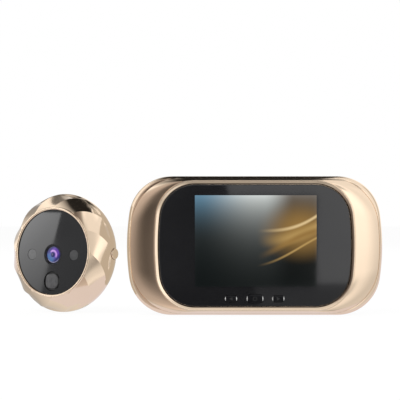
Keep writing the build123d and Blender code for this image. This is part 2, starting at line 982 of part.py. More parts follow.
def outdoor_housing():
    """Gold dome: swirled petals in front, a smooth band behind, and three screw pillars inside."""
    sections = []
    for step in range(petal_sections + 1):
        share = step / petal_sections
        depth = -petal_back + (petal_back - lip_plane) * share
        turn = petal_twist * (1 - share)
        radius = dome_at(depth, dome_radius, dome_axial)
        sections.append(facing(depth) * petal_outline(radius, turn))
    shell = loft(sections)
    shell += dome_solid(-petal_back, dome_back, dome_radius, dome_axial)
    inner_radius = dome_radius - dome_wall
    inner_axial = dome_axial - dome_wall
    shell -= dome_solid(face_back, 0, inner_radius, inner_axial)
    shell -= dome_solid(0, dome_back, inner_radius, inner_axial)
    shell -= rod(plate_radius + plate_gap, plate_front, dome_back + overrun)
    shell -= rod(disc_radius + disc_gap, -lip_plane - overrun, outdoor_ledge)
    shell -= face_holes(outdoor_ledge - overrun, face_back + overrun, wall_hole_gap)
    for x, z in pillar_places():
        shell += rod(pillar_foot_radius, face_back - overrun, camera_front, x, z)
        shell += rod(pillar_radius, camera_front - overrun, plate_front, x, z)
        shell -= rod(back_screw_radius + back_screw_gap, plate_front - back_screw_length,
                     plate_front + overrun, x, z)
    bell_hole = side_rod(bell_radius + bell_gap, bell_seat - overrun, bell_reach + overrun, bell_depth)
    bell_room = side_rod(bell_flange_radius + bell_flange_room, camera_board_radius, bell_seat, bell_depth)
    return shell - bell_hole - bell_room


def pillar_places():
    """Places of the three pillars."""
    return [(pillar_reach * math.cos(math.radians(angle)), pillar_reach * math.sin(math.radians(angle)))
            for angle in pillar_angles]


def face_holes(front, back, extra):
    """Holes for the lens, the two lamps and the motion sensor."""
    holes = [rod(lens_ring_radius + extra, front, back, 0, -lens_drop)]
    for sign in (1, -1):
        holes.append(rod(lamp_radius + extra, front, back, sign * lamp_x, -lens_drop))
    holes.append(rod(motion_radius + extra, front, back, 0, -motion_drop))
    return group(holes)


def outdoor_lip_ring():
    """Rounded gold ring round the black disc."""
    ring = slab(Circle(ring_outer_radius) - Circle(disc_radius + disc_gap), ring_top, -lip_plane)
    return fillet(ring.edges().group_by(Axis.Y)[0], radius=ring_round)


def outdoor_panel():
    """Black glossy disc with holes for the lens, lamps and sensor."""
    disc = rod(disc_radius, disc_front, disc_back)
    front = disc_front - overrun
    back = disc_back + overrun
    disc -= rod(lens_ring_radius + lens_ring_gap, front, back, 0, -lens_drop)
    for sign in (1, -1):
        disc -= rod(lamp_radius + lamp_gap, front, back, sign * lamp_x, -lens_drop)
    disc -= rod(motion_radius + motion_gap, front, back, 0, -motion_drop)
    return disc


def disc_adhesive():
    """Adhesive ring under the black disc."""
    sheet = rod(disc_radius, disc_back, outdoor_ledge)
    return sheet - face_holes(disc_back - overrun, outdoor_ledge + overrun, wall_hole_gap)


# Camera

def lens_ring():
    """Dark ring round the lens glass, set in the disc."""
    front = disc_front - lens_ring_proud
    outline = Circle(lens_ring_radius) - Circle(glass_radius + glass_gap)
    ring = slab(outline, front, front + lens_ring_depth, 0, -lens_drop)
    return fillet(ring.edges().group_by(Axis.Y)[0], radius=lens_ring_round)


def crowned_rod(radius, crown, tip, back):
    """Round bar along the depth whose front end is a shallow spherical crown."""
    edge = tip + crown
    ball = (radius ** 2 + crown ** 2) / (2 * crown)
    half = math.asin(radius / ball) / 2
    middle = (ball * math.sin(half), tip + ball - ball * math.cos(half))
    return turned([
        ((radius, edge), middle, (0, tip)),
        ((0, tip), (0, back)),
        ((0, back), (radius, back)),
        ((radius, back), (radius, edge)),
    ])


def lens_glass():
    """Domed front glass of the lens."""
    return Pos(0, 0, -lens_drop) * crowned_rod(glass_radius, glass_crown, disc_front, barrel_front())


def barrel_front():
    """Depth of the barrel's front, where the glass seats."""
    return disc_front + glass_crown + glass_edge


def lens_barrel():
    """Lens barrel with its bore."""
    outline = Circle(barrel_radius) - Circle(barrel_bore)
    return slab(outline, barrel_front(), barrel_front() + barrel_length, 0, -lens_drop)


def lens_holder():
    """Square holder on the board that takes the barrel and covers the sensor."""
    holder = block(holder_size, holder_size, camera_front - holder_length, camera_front, 0, -lens_drop,
                   corner=picture_margin)
    holder -= rod(barrel_radius + holder_bore_gap, camera_front - holder_length - overrun,
                  barrel_front() + barrel_length, 0, -lens_drop)
    holder -= rod(barrel_bore, barrel_front() + barrel_length - overrun, camera_front, 0, -lens_drop)
    room = sensor_size + sensor_room + sensor_room
    holder -= block(room, room, camera_front - sensor_thickness - sensor_room, camera_front + overrun,
                    0, -lens_drop)
    return holder


def image_sensor():
    """Image sensor on the board."""
    return block(sensor_size, sensor_size, camera_front - sensor_thickness, camera_front, 0, -lens_drop)


def camera_board():
    """Round board, cut for the pillars, seated on their shoulders."""
    board = rod(camera_board_radius, camera_front, camera_back)
    for x, z in pillar_places():
        board -= rod(pillar_radius + pillar_gap, camera_front - overrun, camera_back + overrun, x, z)
    return board


def ir_leds():
    """Two infrared lamps that reach up to their windows."""
    lamp = crowned_rod(lamp_radius, lamp_crown, disc_front + lamp_sink, camera_front)
    return group(Pos(sign * lamp_x, 0, -lens_drop) * lamp for sign in (1, -1))


def pir_lens():
    """Motion sensor lens: a round base with a soft square pillow."""
    base_front = disc_front + motion_sink
    base_back = base_front + motion_base
    lens = rod(motion_radius, base_front, base_back, 0, -motion_drop)
    pillow = block(motion_pillow, motion_pillow, base_front - motion_pillow_height, base_front + overrun,
                   0, -motion_drop, corner=motion_pillow_corner)
    lens += fillet(pillow.edges().group_by(Axis.Y)[0], radius=motion_pillow_round)
    hollow = motion_radius - motion_skin
    return lens - rod(hollow, base_front + motion_skin, base_back + overrun, 0, -motion_drop)


def pir_sensor():
    """Metal can of the motion sensor with its window."""
    front = camera_front - motion_can_height
    can = rod(motion_can_radius, front, camera_front, 0, -motion_drop)
    window = motion_can_radius
    return can - block(window, window - motion_skin, front - overrun, front + motion_skin / 2, 0, -motion_drop)


def camera_ribbon_socket():
    """Socket for the flat lead on the back of the camera board."""
    back = camera_back + camera_socket_thickness
    socket = block(camera_socket_width, camera_socket_height, camera_back, back, 0, camera_socket_raise)
    slot_width = camera_socket_width - ribbon_slot - ribbon_slot
    return socket - block(slot_width, ribbon_slot, back - ribbon_slot_depth, back + overrun,
                          0, camera_socket_raise)


# Doorbell

def doorbell_button():
    """Round button on the right flank, with a flange inside and a stem."""
    flange_outer = bell_seat - bell_seat_gap
    flange_inner = flange_outer - bell_flange_thickness
    cap = side_rod(bell_radius, flange_inner, bell_reach, bell_depth)
    cap = fillet(cap.edges().group_by(Axis.X)[-1], radius=bell_round)
    cap += side_rod(bell_flange_radius, flange_inner, flange_outer, bell_depth)
    return cap + side_rod(bell_stem_radius, flange_inner - bell_stem_length, flange_inner + overrun, bell_depth)


def doorbell_switch():
    """Side switch on the edge of the camera board."""
    stem = bell_seat - bell_seat_gap - bell_flange_thickness - bell_stem_length
    tip = stem - bell_travel - bell_stop_gap
    body_end = tip - bell_plunger_length
    middle = body_end - bell_switch_width / 2
    body = block(bell_switch_width, bell_switch_height, camera_back, camera_back + bell_switch_thickness,
                 middle, 0)
    return body + side_rod(plunger_radius, body_end - overrun, tip, bell_depth)


# Back plate and tube

def back_plate():
    """Plate that closes the outdoor casing."""
    plate = rod(plate_radius, plate_front, dome_back)
    plate -= rod(tube_collar_radius + tube_collar_gap, plate_front - overrun, dome_back + overrun)
    for x, z in pillar_places():
        plate -= rod(back_screw_radius + pillar_gap, plate_front - overrun, dome_back + overrun, x, z)
        plate -= rod(back_head_radius + pillar_gap, dome_back - back_head_sink - back_head_height,
                     dome_back + overrun, x, z)
    return plate


def back_plate_screws():
    """Three screws into the pillars."""
    screws = []
    seat = dome_back - back_head_sink - back_head_height
    head_back = dome_back - back_head_sink
    for x, z in pillar_places():
        screw = rod(back_screw_radius, plate_front - back_screw_length + overrun, seat + overrun, x, z)
        screw += rod(back_head_radius, seat, head_back, x, z)
        screw -= driver_cut(x, z, head_back - driver_depth, head_back + overrun)
        screws.append(screw)
    return group(screws)


def threaded_tube():
    """Door tube: flange inside the plate, collar in it, and a threaded length behind."""
    flange_front = plate_front - tube_flange_height
    tube = rod(tube_flange_radius, flange_front, plate_front)
    tube += rod(tube_collar_radius, plate_front - overrun, gasket_back)
    tube += rod(tube_radius, gasket_back - overrun, tube_end)
    tube = chamfer(tube.edges().group_by(Axis.Y)[-1], length=tube_chamfer)
    grooves = int((tube_end - thread_start) / thread_pitch)
    for index in range(grooves):
        front = thread_start + index * thread_pitch
        cut = Circle(tube_radius + overrun) - Circle(tube_radius - thread_depth)
        tube -= slab(cut, front, front + thread_width)
    return tube - rod(tube_bore_radius, flange_front - overrun, tube_end + overrun)


def door_gasket():
    """Rubber ring between the outdoor unit and the door."""
    return slab(Circle(gasket_outer_radius) - Circle(gasket_inner_radius), dome_back, gasket_back)


def save(name, shape, place):
    """Write one named piece at its place."""
    piece = place * shape
    piece.label = name
    export_step(piece, f"parts/{name}.step")


def build():
    """Write every piece of both units."""
    os.makedirs("parts", exist_ok=True)
    indoor = Pos(0, 0, unit_height / 2)
    tilt = math.radians(outdoor_tilt)
    rim = math.hypot(dome_radius * math.cos(tilt), dome_axial * math.sin(tilt))
    outdoor = Pos(outdoor_x, outdoor_y, rim + outdoor_lift) * Rot(0, 0, -outdoor_yaw) * Rot(-outdoor_tilt, 0, 0)
    for name, x, width, height in key_places():
        save(name, key(width, height, x), indoor)
    save("usb_socket", edge_socket(usb_x, usb_width, usb_height, usb_length, usb_shell), indoor)
    save("card_socket", edge_socket(card_x, card_width, card_height, card_length, card_shell), indoor)
    for make in (
        front_housing, bezel_ring, front_panel, panel_adhesive, lcd_foam_frame, lcd_glass, lcd_backlight,
        lcd_flex, button_guide, key_switches, main_board, board_chips, board_screws, ribbon_socket,
        battery_pack, battery_contacts, battery_door, rear_cover, rear_screws, speaker, speaker_gasket,
        mounting_bracket, bracket_studs, adhesive_pads, bracket_nut, nut_clip,
    ):
        save(make.__name__, make(), indoor)
    for make in (
        outdoor_housing, outdoor_lip_ring, outdoor_panel, disc_adhesive, lens_ring, lens_glass, lens_barrel,
        lens_holder, image_sensor, camera_board, ir_leds, pir_lens, pir_sensor, camera_ribbon_socket,
        doorbell_button, doorbell_switch, back_plate, back_plate_screws, threaded_tube, door_gasket,
    ):
        save(make.__name__, make(), outdoor)


build()
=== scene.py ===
"""Looks of a digital door viewer: a gold indoor screen unit and a petalled gold outdoor camera.

Each sub-assembly is a class with its sizes in millimetres. Meshes are built in those sizes, placed on
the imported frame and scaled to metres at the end. Finishes are small classes that build node materials.
"""
import logging
from dataclasses import asdict, dataclass, fields
from enum import Enum
from math import asin, atan2, copysign, cos, degrees, pi, radians, sin, sqrt
from typing import Iterable, Optional, Sequence, Union

import bmesh
import bpy
from mathutils import Matrix, Vector


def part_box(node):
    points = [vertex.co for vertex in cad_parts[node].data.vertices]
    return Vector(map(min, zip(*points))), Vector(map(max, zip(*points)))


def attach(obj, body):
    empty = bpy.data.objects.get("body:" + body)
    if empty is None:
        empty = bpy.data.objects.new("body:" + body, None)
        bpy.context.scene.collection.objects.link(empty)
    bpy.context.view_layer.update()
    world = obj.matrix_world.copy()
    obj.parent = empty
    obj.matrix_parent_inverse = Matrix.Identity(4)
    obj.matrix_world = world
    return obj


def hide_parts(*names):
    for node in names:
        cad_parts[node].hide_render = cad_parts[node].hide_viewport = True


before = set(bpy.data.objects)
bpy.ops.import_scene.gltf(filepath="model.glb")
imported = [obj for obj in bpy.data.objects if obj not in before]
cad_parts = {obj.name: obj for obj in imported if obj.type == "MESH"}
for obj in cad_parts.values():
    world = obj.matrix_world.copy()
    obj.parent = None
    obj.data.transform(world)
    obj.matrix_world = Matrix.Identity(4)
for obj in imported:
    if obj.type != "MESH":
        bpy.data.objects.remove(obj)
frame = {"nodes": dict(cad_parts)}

MM = 0.001
SHARP_ANGLE = radians(14)
WHITE = (1.0, 1.0, 1.0)
BLACK = (0.0, 0.0, 0.0)
LOG = logging.getLogger("door_viewer")

Colour = tuple[float, float, float]
Band = tuple[float, float]
Piece = bpy.types.Object
Material = bpy.types.Material
Node = bpy.types.Node
Tree = bpy.types.NodeTree
Socket = bpy.types.NodeSocket
Value = Union[float, Sequence[float], Socket]
Light = Union[float, Colour]
Profile = Sequence[tuple[float, float]]


class Symbol(Enum):
    """Mark on a key."""

    POINTS_LEFT = "points_left"
    POWER = "power"
    POINTS_RIGHT = "points_right"


class Cut(Enum):
    """How one mesh changes another."""

    TAKE_AWAY = "DIFFERENCE"
    JOIN = "UNION"


class Blend(Enum):
    """How a zone changes the tent's level."""

    SET = "set"
    AT_LEAST = "at_least"
    TIMES = "times"


class Axis(Enum):
    """Axis that a card is square to."""

    ACROSS = 0
    DEPTH = 1
    HEIGHT = 2


# Meshes


def spread(start: float, end: float, steps: int) -> list[float]:
    """Returns evenly spaced values from start to end."""
    return [start + (end - start) * step / steps for step in range(steps + 1)]


def clamp(value: float) -> float:
    """Returns a value held between 0 and 1."""
    return min(max(value, 0), 1)


@dataclass(frozen=True)
class Outline:
    """Rounded outline: its two ends are gentle arcs, or straight where side is None."""

    half_width: float
    half_height: float
    corner: float
    side: Optional[float] = None
    top_steps: int = 10
    corner_steps: int = 20
    side_steps: int = 16

    def sizes(self) -> tuple[Optional[float], ...]:
        """Returns the sizes that grow and mix."""
        return self.half_width, self.half_height, self.corner, self.side

    def grown(self, amount: float) -> "Outline":
        """Returns the outline moved out by an amount."""
        return Outline(*(None if size is None else size + amount for size in self.sizes()))

    def toward(self, other: "Outline", share: float) -> "Outline":
        """Returns the outline a share of the way to another with the same kind of ends."""
        pairs = zip(self.sizes(), other.sizes())
        return Outline(*(None if size is None else size + (goal - size) * share for size, goal in pairs))

    def points(self) -> list[tuple[float, float]]:
        """Returns the points of the outline, clockwise from the middle of the top.

        Returns:
            Pairs of a place across and a place up.
        """
        rise = self.half_height - self.corner
        corner_x = self.half_width - self.corner
        middle = 0.0
        lean = 0.0
        if self.side is not None:
            middle = self.half_width - self.side
            corner_x = middle + sqrt((self.side - self.corner) ** 2 - rise ** 2)
            lean = atan2(rise, corner_x - middle)
        quarter = [(x, self.half_height) for x in spread(0, corner_x, self.top_steps)[:-1]]
        for angle in spread(pi / 2, lean, self.corner_steps)[:-1]:
            quarter.append((corner_x + self.corner * cos(angle), rise + self.corner * sin(angle)))
        for share in spread(1, 0, self.side_steps)[:-1]:
            if self.side is not None:
                angle = lean * share
                quarter.append((middle + self.side * cos(angle), self.side * sin(angle)))
            elif rise > 0:
                quarter.append((self.half_width, rise * share))
        quarter.append((self.half_width, 0.0))
        back = quarter[::-1]
        points = []
        for row, x_sign, z_sign in ((quarter, 1, 1), (back, 1, -1), (quarter, -1, -1), (back, -1, 1)):
            points += [(x_sign * x, z_sign * z) for x, z in row[:-1]]
        return points


class Draft:
    """Points and faces of one piece, in millimetres, before it becomes a mesh."""

    def __init__(self) -> None:
        """Starts an empty draft."""
        self.points: list[Vector] = []
        self.faces: list[tuple[int, ...]] = []

    def ring(self, points: Iterable[Sequence[float]]) -> range:
        """Adds a ring of points and returns their numbers.

        Args:
            points: Its points: across, along the depth and up.

        Returns:
            The numbers of the points.
        """
        start = len(self.points)
        self.points.extend(Vector(point) for point in points)
        return range(start, len(self.points))

    def circle(self, radius: float, depth: float, segments: int, x: float = 0) -> range:
        """Adds a circle square to the depth and returns the numbers of its points."""
        angles = spread(0, 2 * pi, segments)[:-1]
        return self.ring((x + radius * cos(a), depth, radius * sin(a)) for a in angles)

    def outline(self, outline: Outline, depth: float, x: float = 0, z: float = 0) -> range:
        """Adds an outline at one depth and returns the numbers of its points."""
        return self.ring((x + px, depth, z + pz) for px, pz in outline.points())

    def skin(self, rings: Sequence[range], closed: bool = False) -> None:
        """Covers rings of as many points with four-sided faces.

        Args:
            rings: The rings, in order.
            closed: Whether the last ring joins the first.
        """
        pairs = list(zip(rings, rings[1:]))
        if closed:
            pairs.append((rings[-1], rings[0]))
        for first, second in pairs:
            count = len(first)
            for index in range(count):
                after = (index + 1) % count
                self.faces.append((first[index], first[after], second[after], second[index]))

    def cap(self, ring: range) -> None:
        """Closes a ring with one face."""
        self.faces.append(tuple(ring))

    def capped(self, rings: Sequence[range]) -> None:
        """Covers rings and closes both ends.

        Args:
            rings: The rings, in order.
        """
        self.skin(rings)
        self.cap(rings[0])
        self.cap(rings[-1])

    def make(self, name: str, place: Matrix = Matrix()) -> Piece:
        """Makes the object.

        Args:
            name: Name of the object.
            place: Where the draft's own frame lies, in millimetres.

        Returns:
            The new object, at the origin, with its place in its mesh.
        """
        mesh = bpy.data.meshes.new(name)
        build = bmesh.new()
        verts = [build.verts.new((place @ point) * MM) for point in self.points]
        for face in self.faces:
            build.faces.new([verts[index] for index in face])
        bmesh.ops.recalc_face_normals(build, faces=build.faces[:])
        for face in build.faces:
            face.smooth = True
        build.to_mesh(mesh)
        build.free()
        made = bpy.data.objects.new(name, mesh)
        bpy.context.scene.collection.objects.link(made)
        mesh.set_sharp_from_angle(angle=SHARP_ANGLE)
        return made


def turned(profile: Profile, segments: int, closed: bool = False) -> Draft:
    """Turns a profile about the depth axis.

    Args:
        profile: Pairs of radius and depth.
        segments: Steps round the axis.
        closed: Whether the profile is a loop, or is capped at both ends.

    Returns:
        The draft of the turned piece.
    """
    draft = Draft()
    rings = [draft.circle(radius, depth, segments) for radius, depth in profile]
    if closed:
        draft.skin(rings, closed=True)
    else:
        draft.capped(rings)
    return draft


def arc(centre: tuple[float, float], radius: float, start: float, end: float, steps: int) -> Profile:
    """Points of an arc in a profile.

    Args:
        centre: Centre, as radius and depth.
        radius: Radius of the arc.
        start: First angle in degrees, where 0 points outwards and 90 to the front.
        end: Last angle in degrees.
        steps: Number of steps.

    Returns:
        The points from start to end.
    """
    angles = [radians(angle) for angle in spread(start, end, steps)]
    return [(centre[0] + radius * cos(angle), centre[1] - radius * sin(angle)) for angle in angles]


def rounding(radius: float, steps: int) -> Profile:
    """Returns how far a rounded edge has come in and has risen at each step."""
    angles = spread(0, pi / 2, steps)
    return [(radius * (1 - cos(angle)), radius * sin(angle)) for angle in angles]


def reshape(piece: Piece, tool: Piece, cut: Cut) -> None:
    """Cuts a closed tool out of a piece, or joins it on, and deletes the tool.

    Args:
        piece: The piece that changes.
        tool: The closed tool.
        cut: Whether the tool is taken away or joined on.
    """
    change = piece.modifiers.new("change", "BOOLEAN")
    change.operation = cut.value
    change.solver = "EXACT"
    change.object = tool
    graph = bpy.context.evaluated_depsgraph_get()
    result = bpy.data.meshes.new_from_object(piece.evaluated_get(graph))
    piece.modifiers.clear()
    old = piece.data
    piece.data = result
    result.name = old.name
    bpy.data.meshes.remove(old)
    bpy.data.objects.remove(tool)
    for face in piece.data.polygons:
        face.use_smooth = True
    piece.data.set_sharp_from_angle(angle=SHARP_ANGLE)


def settle(piece: Piece, body: str, slot: str, material: Material, *nodes: str) -> None:
    """Dresses a piece, lets it ride on a body and stand for its nodes.

    Args:
        piece: The piece.
        body: Body that it rides on.
        slot: Material slot of the record. Not used.
        material: Its finish.
        nodes: The nodes that it replaces.
    """
    piece.data.materials.clear()
    piece.data.materials.append(material)
    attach(piece, body)
    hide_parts(*nodes)
    LOG.info("%s rides on %s with %d faces", piece.name, body, len(piece.data.polygons))


# Finishes


class Graph:
    """Short way to add and join the nodes of one tree."""

    def __init__(self, tree: Tree) -> None:
        """Keeps the tree."""
        self.tree = tree

    def node(self, kind: str, **settings: object) -> Node:
        """Adds a node with some settings.

        Args:
            kind: Kind of node.
            settings: Values of its own properties.

        Returns:
            The node.
        """
        made = self.tree.nodes.new(kind)
        for name, value in settings.items():
            setattr(made, name, value)
        return made

    def feed(self, socket: Socket, value: Value) -> None:
        """Links a socket, or sets its value.

        Args:
            socket: The socket.
            value: Another node's output, a number or a colour.
        """
        if isinstance(value, Socket):
            self.tree.links.new(value, socket)
        elif hasattr(value, "__len__") and len(value) == 3 and socket.type == "RGBA":
            socket.default_value = (*value, 1)
        else:
            socket.default_value = value

    def fill(self, node: Node, values: dict[str, Value]) -> Node:
        """Feeds named inputs of a node and returns the node.

        Args:
            node: The node.
            values: Values by the names of its inputs.

        Returns:
            The same node.
        """
        for name, value in values.items():
            self.feed(node.inputs[name], value)
        return node

    def calc(self, operation: str, *values: Value) -> Socket:
        """Adds a step of arithmetic and returns its result.

        Args:
            operation: Kind of arithmetic.
            values: Its values, in order.

        Returns:
            The result.
        """
        made = self.node("ShaderNodeMath", operation=operation)
        for socket, value in zip(made.inputs, values):
            self.feed(socket, value)
        return made.outputs[0]

    def both(self, first: Value, second: Value) -> Socket:
        """Returns the part that two masks share."""
        return self.calc("MULTIPLY", first, second)

    def gap(self, value: Value, place: Value) -> Socket:
        """Returns how far a value is from a place."""
        return self.calc("ABSOLUTE", self.calc("SUBTRACT", value, place))

    def ratio(self, value: Value, start: float, size: float) -> Socket:
        """Returns how many times a size a value lies past a start."""
        return self.calc("DIVIDE", self.calc("SUBTRACT", value, start), size)

    def reach(self, side: Value, rise: Value) -> Socket:
        """Returns the distance that a side step and a rise make together."""
        squares = [self.calc("MULTIPLY", part, part) for part in (side, rise)]
        return self.calc("SQRT", self.calc("ADD", *squares))

    def ramp(self, value: Value, low: float, high: float) -> Socket:
        """Returns 0 below low and 1 above high, smooth between them."""
        made = self.node("ShaderNodeMapRange", interpolation_type="SMOOTHSTEP")
        return self.fill(made, {"Value": value, "From Min": low, "From Max": high}).outputs["Result"]

    def fall(self, value: Value, low: float, high: float) -> Socket:
        """Returns 1 below low and 0 above high, smooth between them."""
        return self.calc("SUBTRACT", 1.0, self.ramp(value, low, high))

    def mix(self, share: Value, first: Value, second: Value) -> Socket:
        """Mixes two colours.

        Args:
            share: Share of the second colour.
            first: The first colour.
            second: The second colour.

        Returns:
            The mixed colour.
        """
        made = self.node("ShaderNodeMix", data_type="RGBA")
        self.feed(made.inputs["Factor"], share)
        sockets = [socket for socket in made.inputs if socket.type == "RGBA"]
        self.feed(sockets[0], first)
        self.feed(sockets[1], second)
        return [socket for socket in made.outputs if socket.type == "RGBA"][0]

    def noise(self, place: Value, scale: Value, detail: float) -> Socket:
        """Returns soft noise between 0 and 1."""
        made = self.node("ShaderNodeTexNoise")
        return self.fill(made, {"Vector": place, "Scale": scale, "Detail": detail}).outputs[0]

    def split(self, place: Value) -> list[Socket]:
        """Returns the three parts of a place.

        Args:
            place: The place.

        Returns:
            Its parts across, along the depth and up.
        """
        made = self.node("ShaderNodeSeparateXYZ")
        self.feed(made.inputs[0], place)
        return list(made.outputs)

    def from_centre(self, place: Value, centre: Sequence[float]) -> tuple[Socket, Socket]:
        """Returns the way from a centre, and its length in millimetres.

        Args:
            place: The place, in metres.
            centre: The centre, in metres.

        Returns:
            The way from the centre, and its length in millimetres.
        """
        away = self.node("ShaderNodeVectorMath", operation="SUBTRACT")
        self.feed(away.inputs[0], place)
        self.feed(away.inputs[1], centre)
        size = self.node("ShaderNodeVectorMath", operation="LENGTH")
        self.feed(size.inputs[0], away.outputs[0])
        return away.outputs[0], self.calc("DIVIDE", size.outputs["Value"], MM)


GROUPS: dict[str, Tree] = {}
NUMBER = "NodeSocketFloat"
COLOUR = "NodeSocketColor"
VECTOR = "NodeSocketVector"
BLOTCH_BAND = (0.3, 0.7)


def new_group(name: str, inputs: dict[str, str], outputs: dict[str, str]) -> tuple[Graph, Node, Node]:
    """Starts a shader node group.

    Args:
        name: Name of the group.
        inputs: Names and kinds of its inputs.
        outputs: Names and kinds of its outputs.

    Returns:
        The graph of the group, and its input and output nodes.
    """
    tree = bpy.data.node_groups.new(name, "ShaderNodeTree")
    for way, sockets in (("INPUT", inputs), ("OUTPUT", outputs)):
        for label, kind in sockets.items():
            tree.interface.new_socket(name=label, in_out=way, socket_type=kind)
    GROUPS[name] = tree
    graph = Graph(tree)
    return graph, graph.node("NodeGroupInput"), graph.node("NodeGroupOutput")


def surface_group() -> Tree:
    """Returns the group that varies a surface: blotches of colour and gloss, and a fine grain.

    Returns:
        The group, made on its first use.
    """
    if "surface_variation" not in GROUPS:
        graph, start, end = new_group(
            "surface_variation",
            {"Place": VECTOR, "Grain Scale": NUMBER, "Blotch Scale": NUMBER, "First Colour": COLOUR,
             "Second Colour": COLOUR, "Low Roughness": NUMBER, "High Roughness": NUMBER},
            {"Colour": COLOUR, "Roughness": NUMBER, "Height": NUMBER},
        )
        given = start.outputs
        blotch = graph.noise(given["Place"], given["Blotch Scale"], detail=4)
        share = graph.ramp(blotch, *BLOTCH_BAND)
        span = graph.calc("SUBTRACT", given["High Roughness"], given["Low Roughness"])
        graph.fill(end, {
            "Colour": graph.mix(share, given["First Colour"], given["Second Colour"]),
            "Roughness": graph.calc("MULTIPLY_ADD", share, span, given["Low Roughness"]),
            "Height": graph.noise(given["Place"], given["Grain Scale"], detail=2),
        })
    return GROUPS["surface_variation"]


@dataclass(frozen=True)
class Wave:
    """Soft stripe across the picture, in shares of the picture's size."""

    height: float
    swing: float
    rate: float
    shift: float
    slope: float
    half_width: float
    paint: Colour

    def line(self, graph: Graph, across: Value, up: Value) -> Socket:
        """Returns the mask of the stripe.

        Args:
            graph: Graph to add it to.
            across: Place across the picture, from 0 to 1.
            up: Place up the picture, from 0 to 1.

        Returns:
            The mask, 1 along the middle of the stripe.
        """
        turn = graph.calc("SINE", graph.calc("MULTIPLY_ADD", across, self.rate, self.shift))
        middle = graph.calc("MULTIPLY_ADD", across, self.slope, self.height)
        wave = graph.calc("MULTIPLY_ADD", turn, self.swing, middle)
        return graph.fall(graph.gap(up, wave), 0.0, self.half_width)


@dataclass(frozen=True)
class Picture:
    """Generic picture on the screen: soft layered waves under a warm glow. Bands are shares of its size."""

    centre_x: float = 0.35
    centre_z: float = 34.95
    width: float = 56.9
    height: float = 42.7
    haze: Colour = (0.135, 0.265, 0.37)
    pale: Colour = (0.66, 0.70, 0.68)
    dusk: Colour = (0.14, 0.165, 0.17)
    umber: Colour = (0.15, 0.125, 0.10)
    amber: Colour = (0.33, 0.19, 0.055)
    gold: Colour = (0.50, 0.32, 0.11)
    glow: Colour = (0.78, 0.58, 0.30)
    night: Colour = (0.004, 0.006, 0.006)
    haze_band: Band = (0.45, 0.95)
    pale_band: Band = (0.02, 0.52)
    umber_band: Band = (0.56, 0.82)
    warm_place: tuple[float, float] = (0.88, 0.62)
    warm_band: Band = (0.02, 0.40)
    wave_band: Band = (0.50, 0.86)
    fade: float = -4.7
    waves: tuple[Wave, ...] = (
        Wave(0.30, 0.10, 5.2, 0.2, 0.55, 0.030, glow),
        Wave(0.36, 0.09, 4.6, 1.1, 0.34, 0.100, gold),
        Wave(0.12, 0.08, 5.4, 1.6, 0.36, 0.022, gold),
        Wave(0.24, 0.07, 6.0, 1.9, 0.30, 0.060, amber),
    )

    def group(self) -> Tree:
        """Returns the group that paints the picture and the mask of its window.

        Returns:
            The group, made on its first use.
        """
        if "screen_picture" in GROUPS:
            return GROUPS["screen_picture"]
        outputs = {"Colour": COLOUR, "Window": NUMBER}
        graph, start, end = new_group("screen_picture", {"Place": VECTOR}, outputs)
        x, _, z = graph.split(start.outputs["Place"])
        across = graph.ratio(x, (self.centre_x - self.width / 2) * MM, self.width * MM)
        up = graph.ratio(z, (self.centre_z - self.height / 2) * MM, self.height * MM)
        side = graph.mix(graph.ramp(up, *self.haze_band), self.dusk, self.haze)
        top = graph.mix(graph.ramp(across, *self.pale_band), side, self.pale)
        top = graph.mix(graph.ramp(across, *self.umber_band), top, self.umber)
        light = graph.calc("EXPONENT", graph.calc("MULTIPLY", graph.calc("SUBTRACT", 1.0, up), self.fade))
        colour = graph.mix(light, self.night, top)
        steps = [graph.calc("SUBTRACT", value, spot) for value, spot in zip((across, up), self.warm_place)]
        colour = graph.mix(graph.fall(graph.reach(*steps), *self.warm_band), colour, self.amber)
        right = graph.ramp(across, *self.wave_band)
        for wave in self.waves:
            colour = graph.mix(graph.both(wave.line(graph, across, up), right), colour, wave.paint)
        window = graph.both(self.inside(graph, across), self.inside(graph, up))
        graph.fill(end, {"Colour": colour, "Window": window})
        return GROUPS["screen_picture"]

    def inside(self, graph: Graph, value: Value) -> Socket:
        """Returns 1 where a value lies between 0 and 1."""
        return graph.both(graph.calc("GREATER_THAN", value, 0.0), graph.calc("LESS_THAN", value, 1.0))


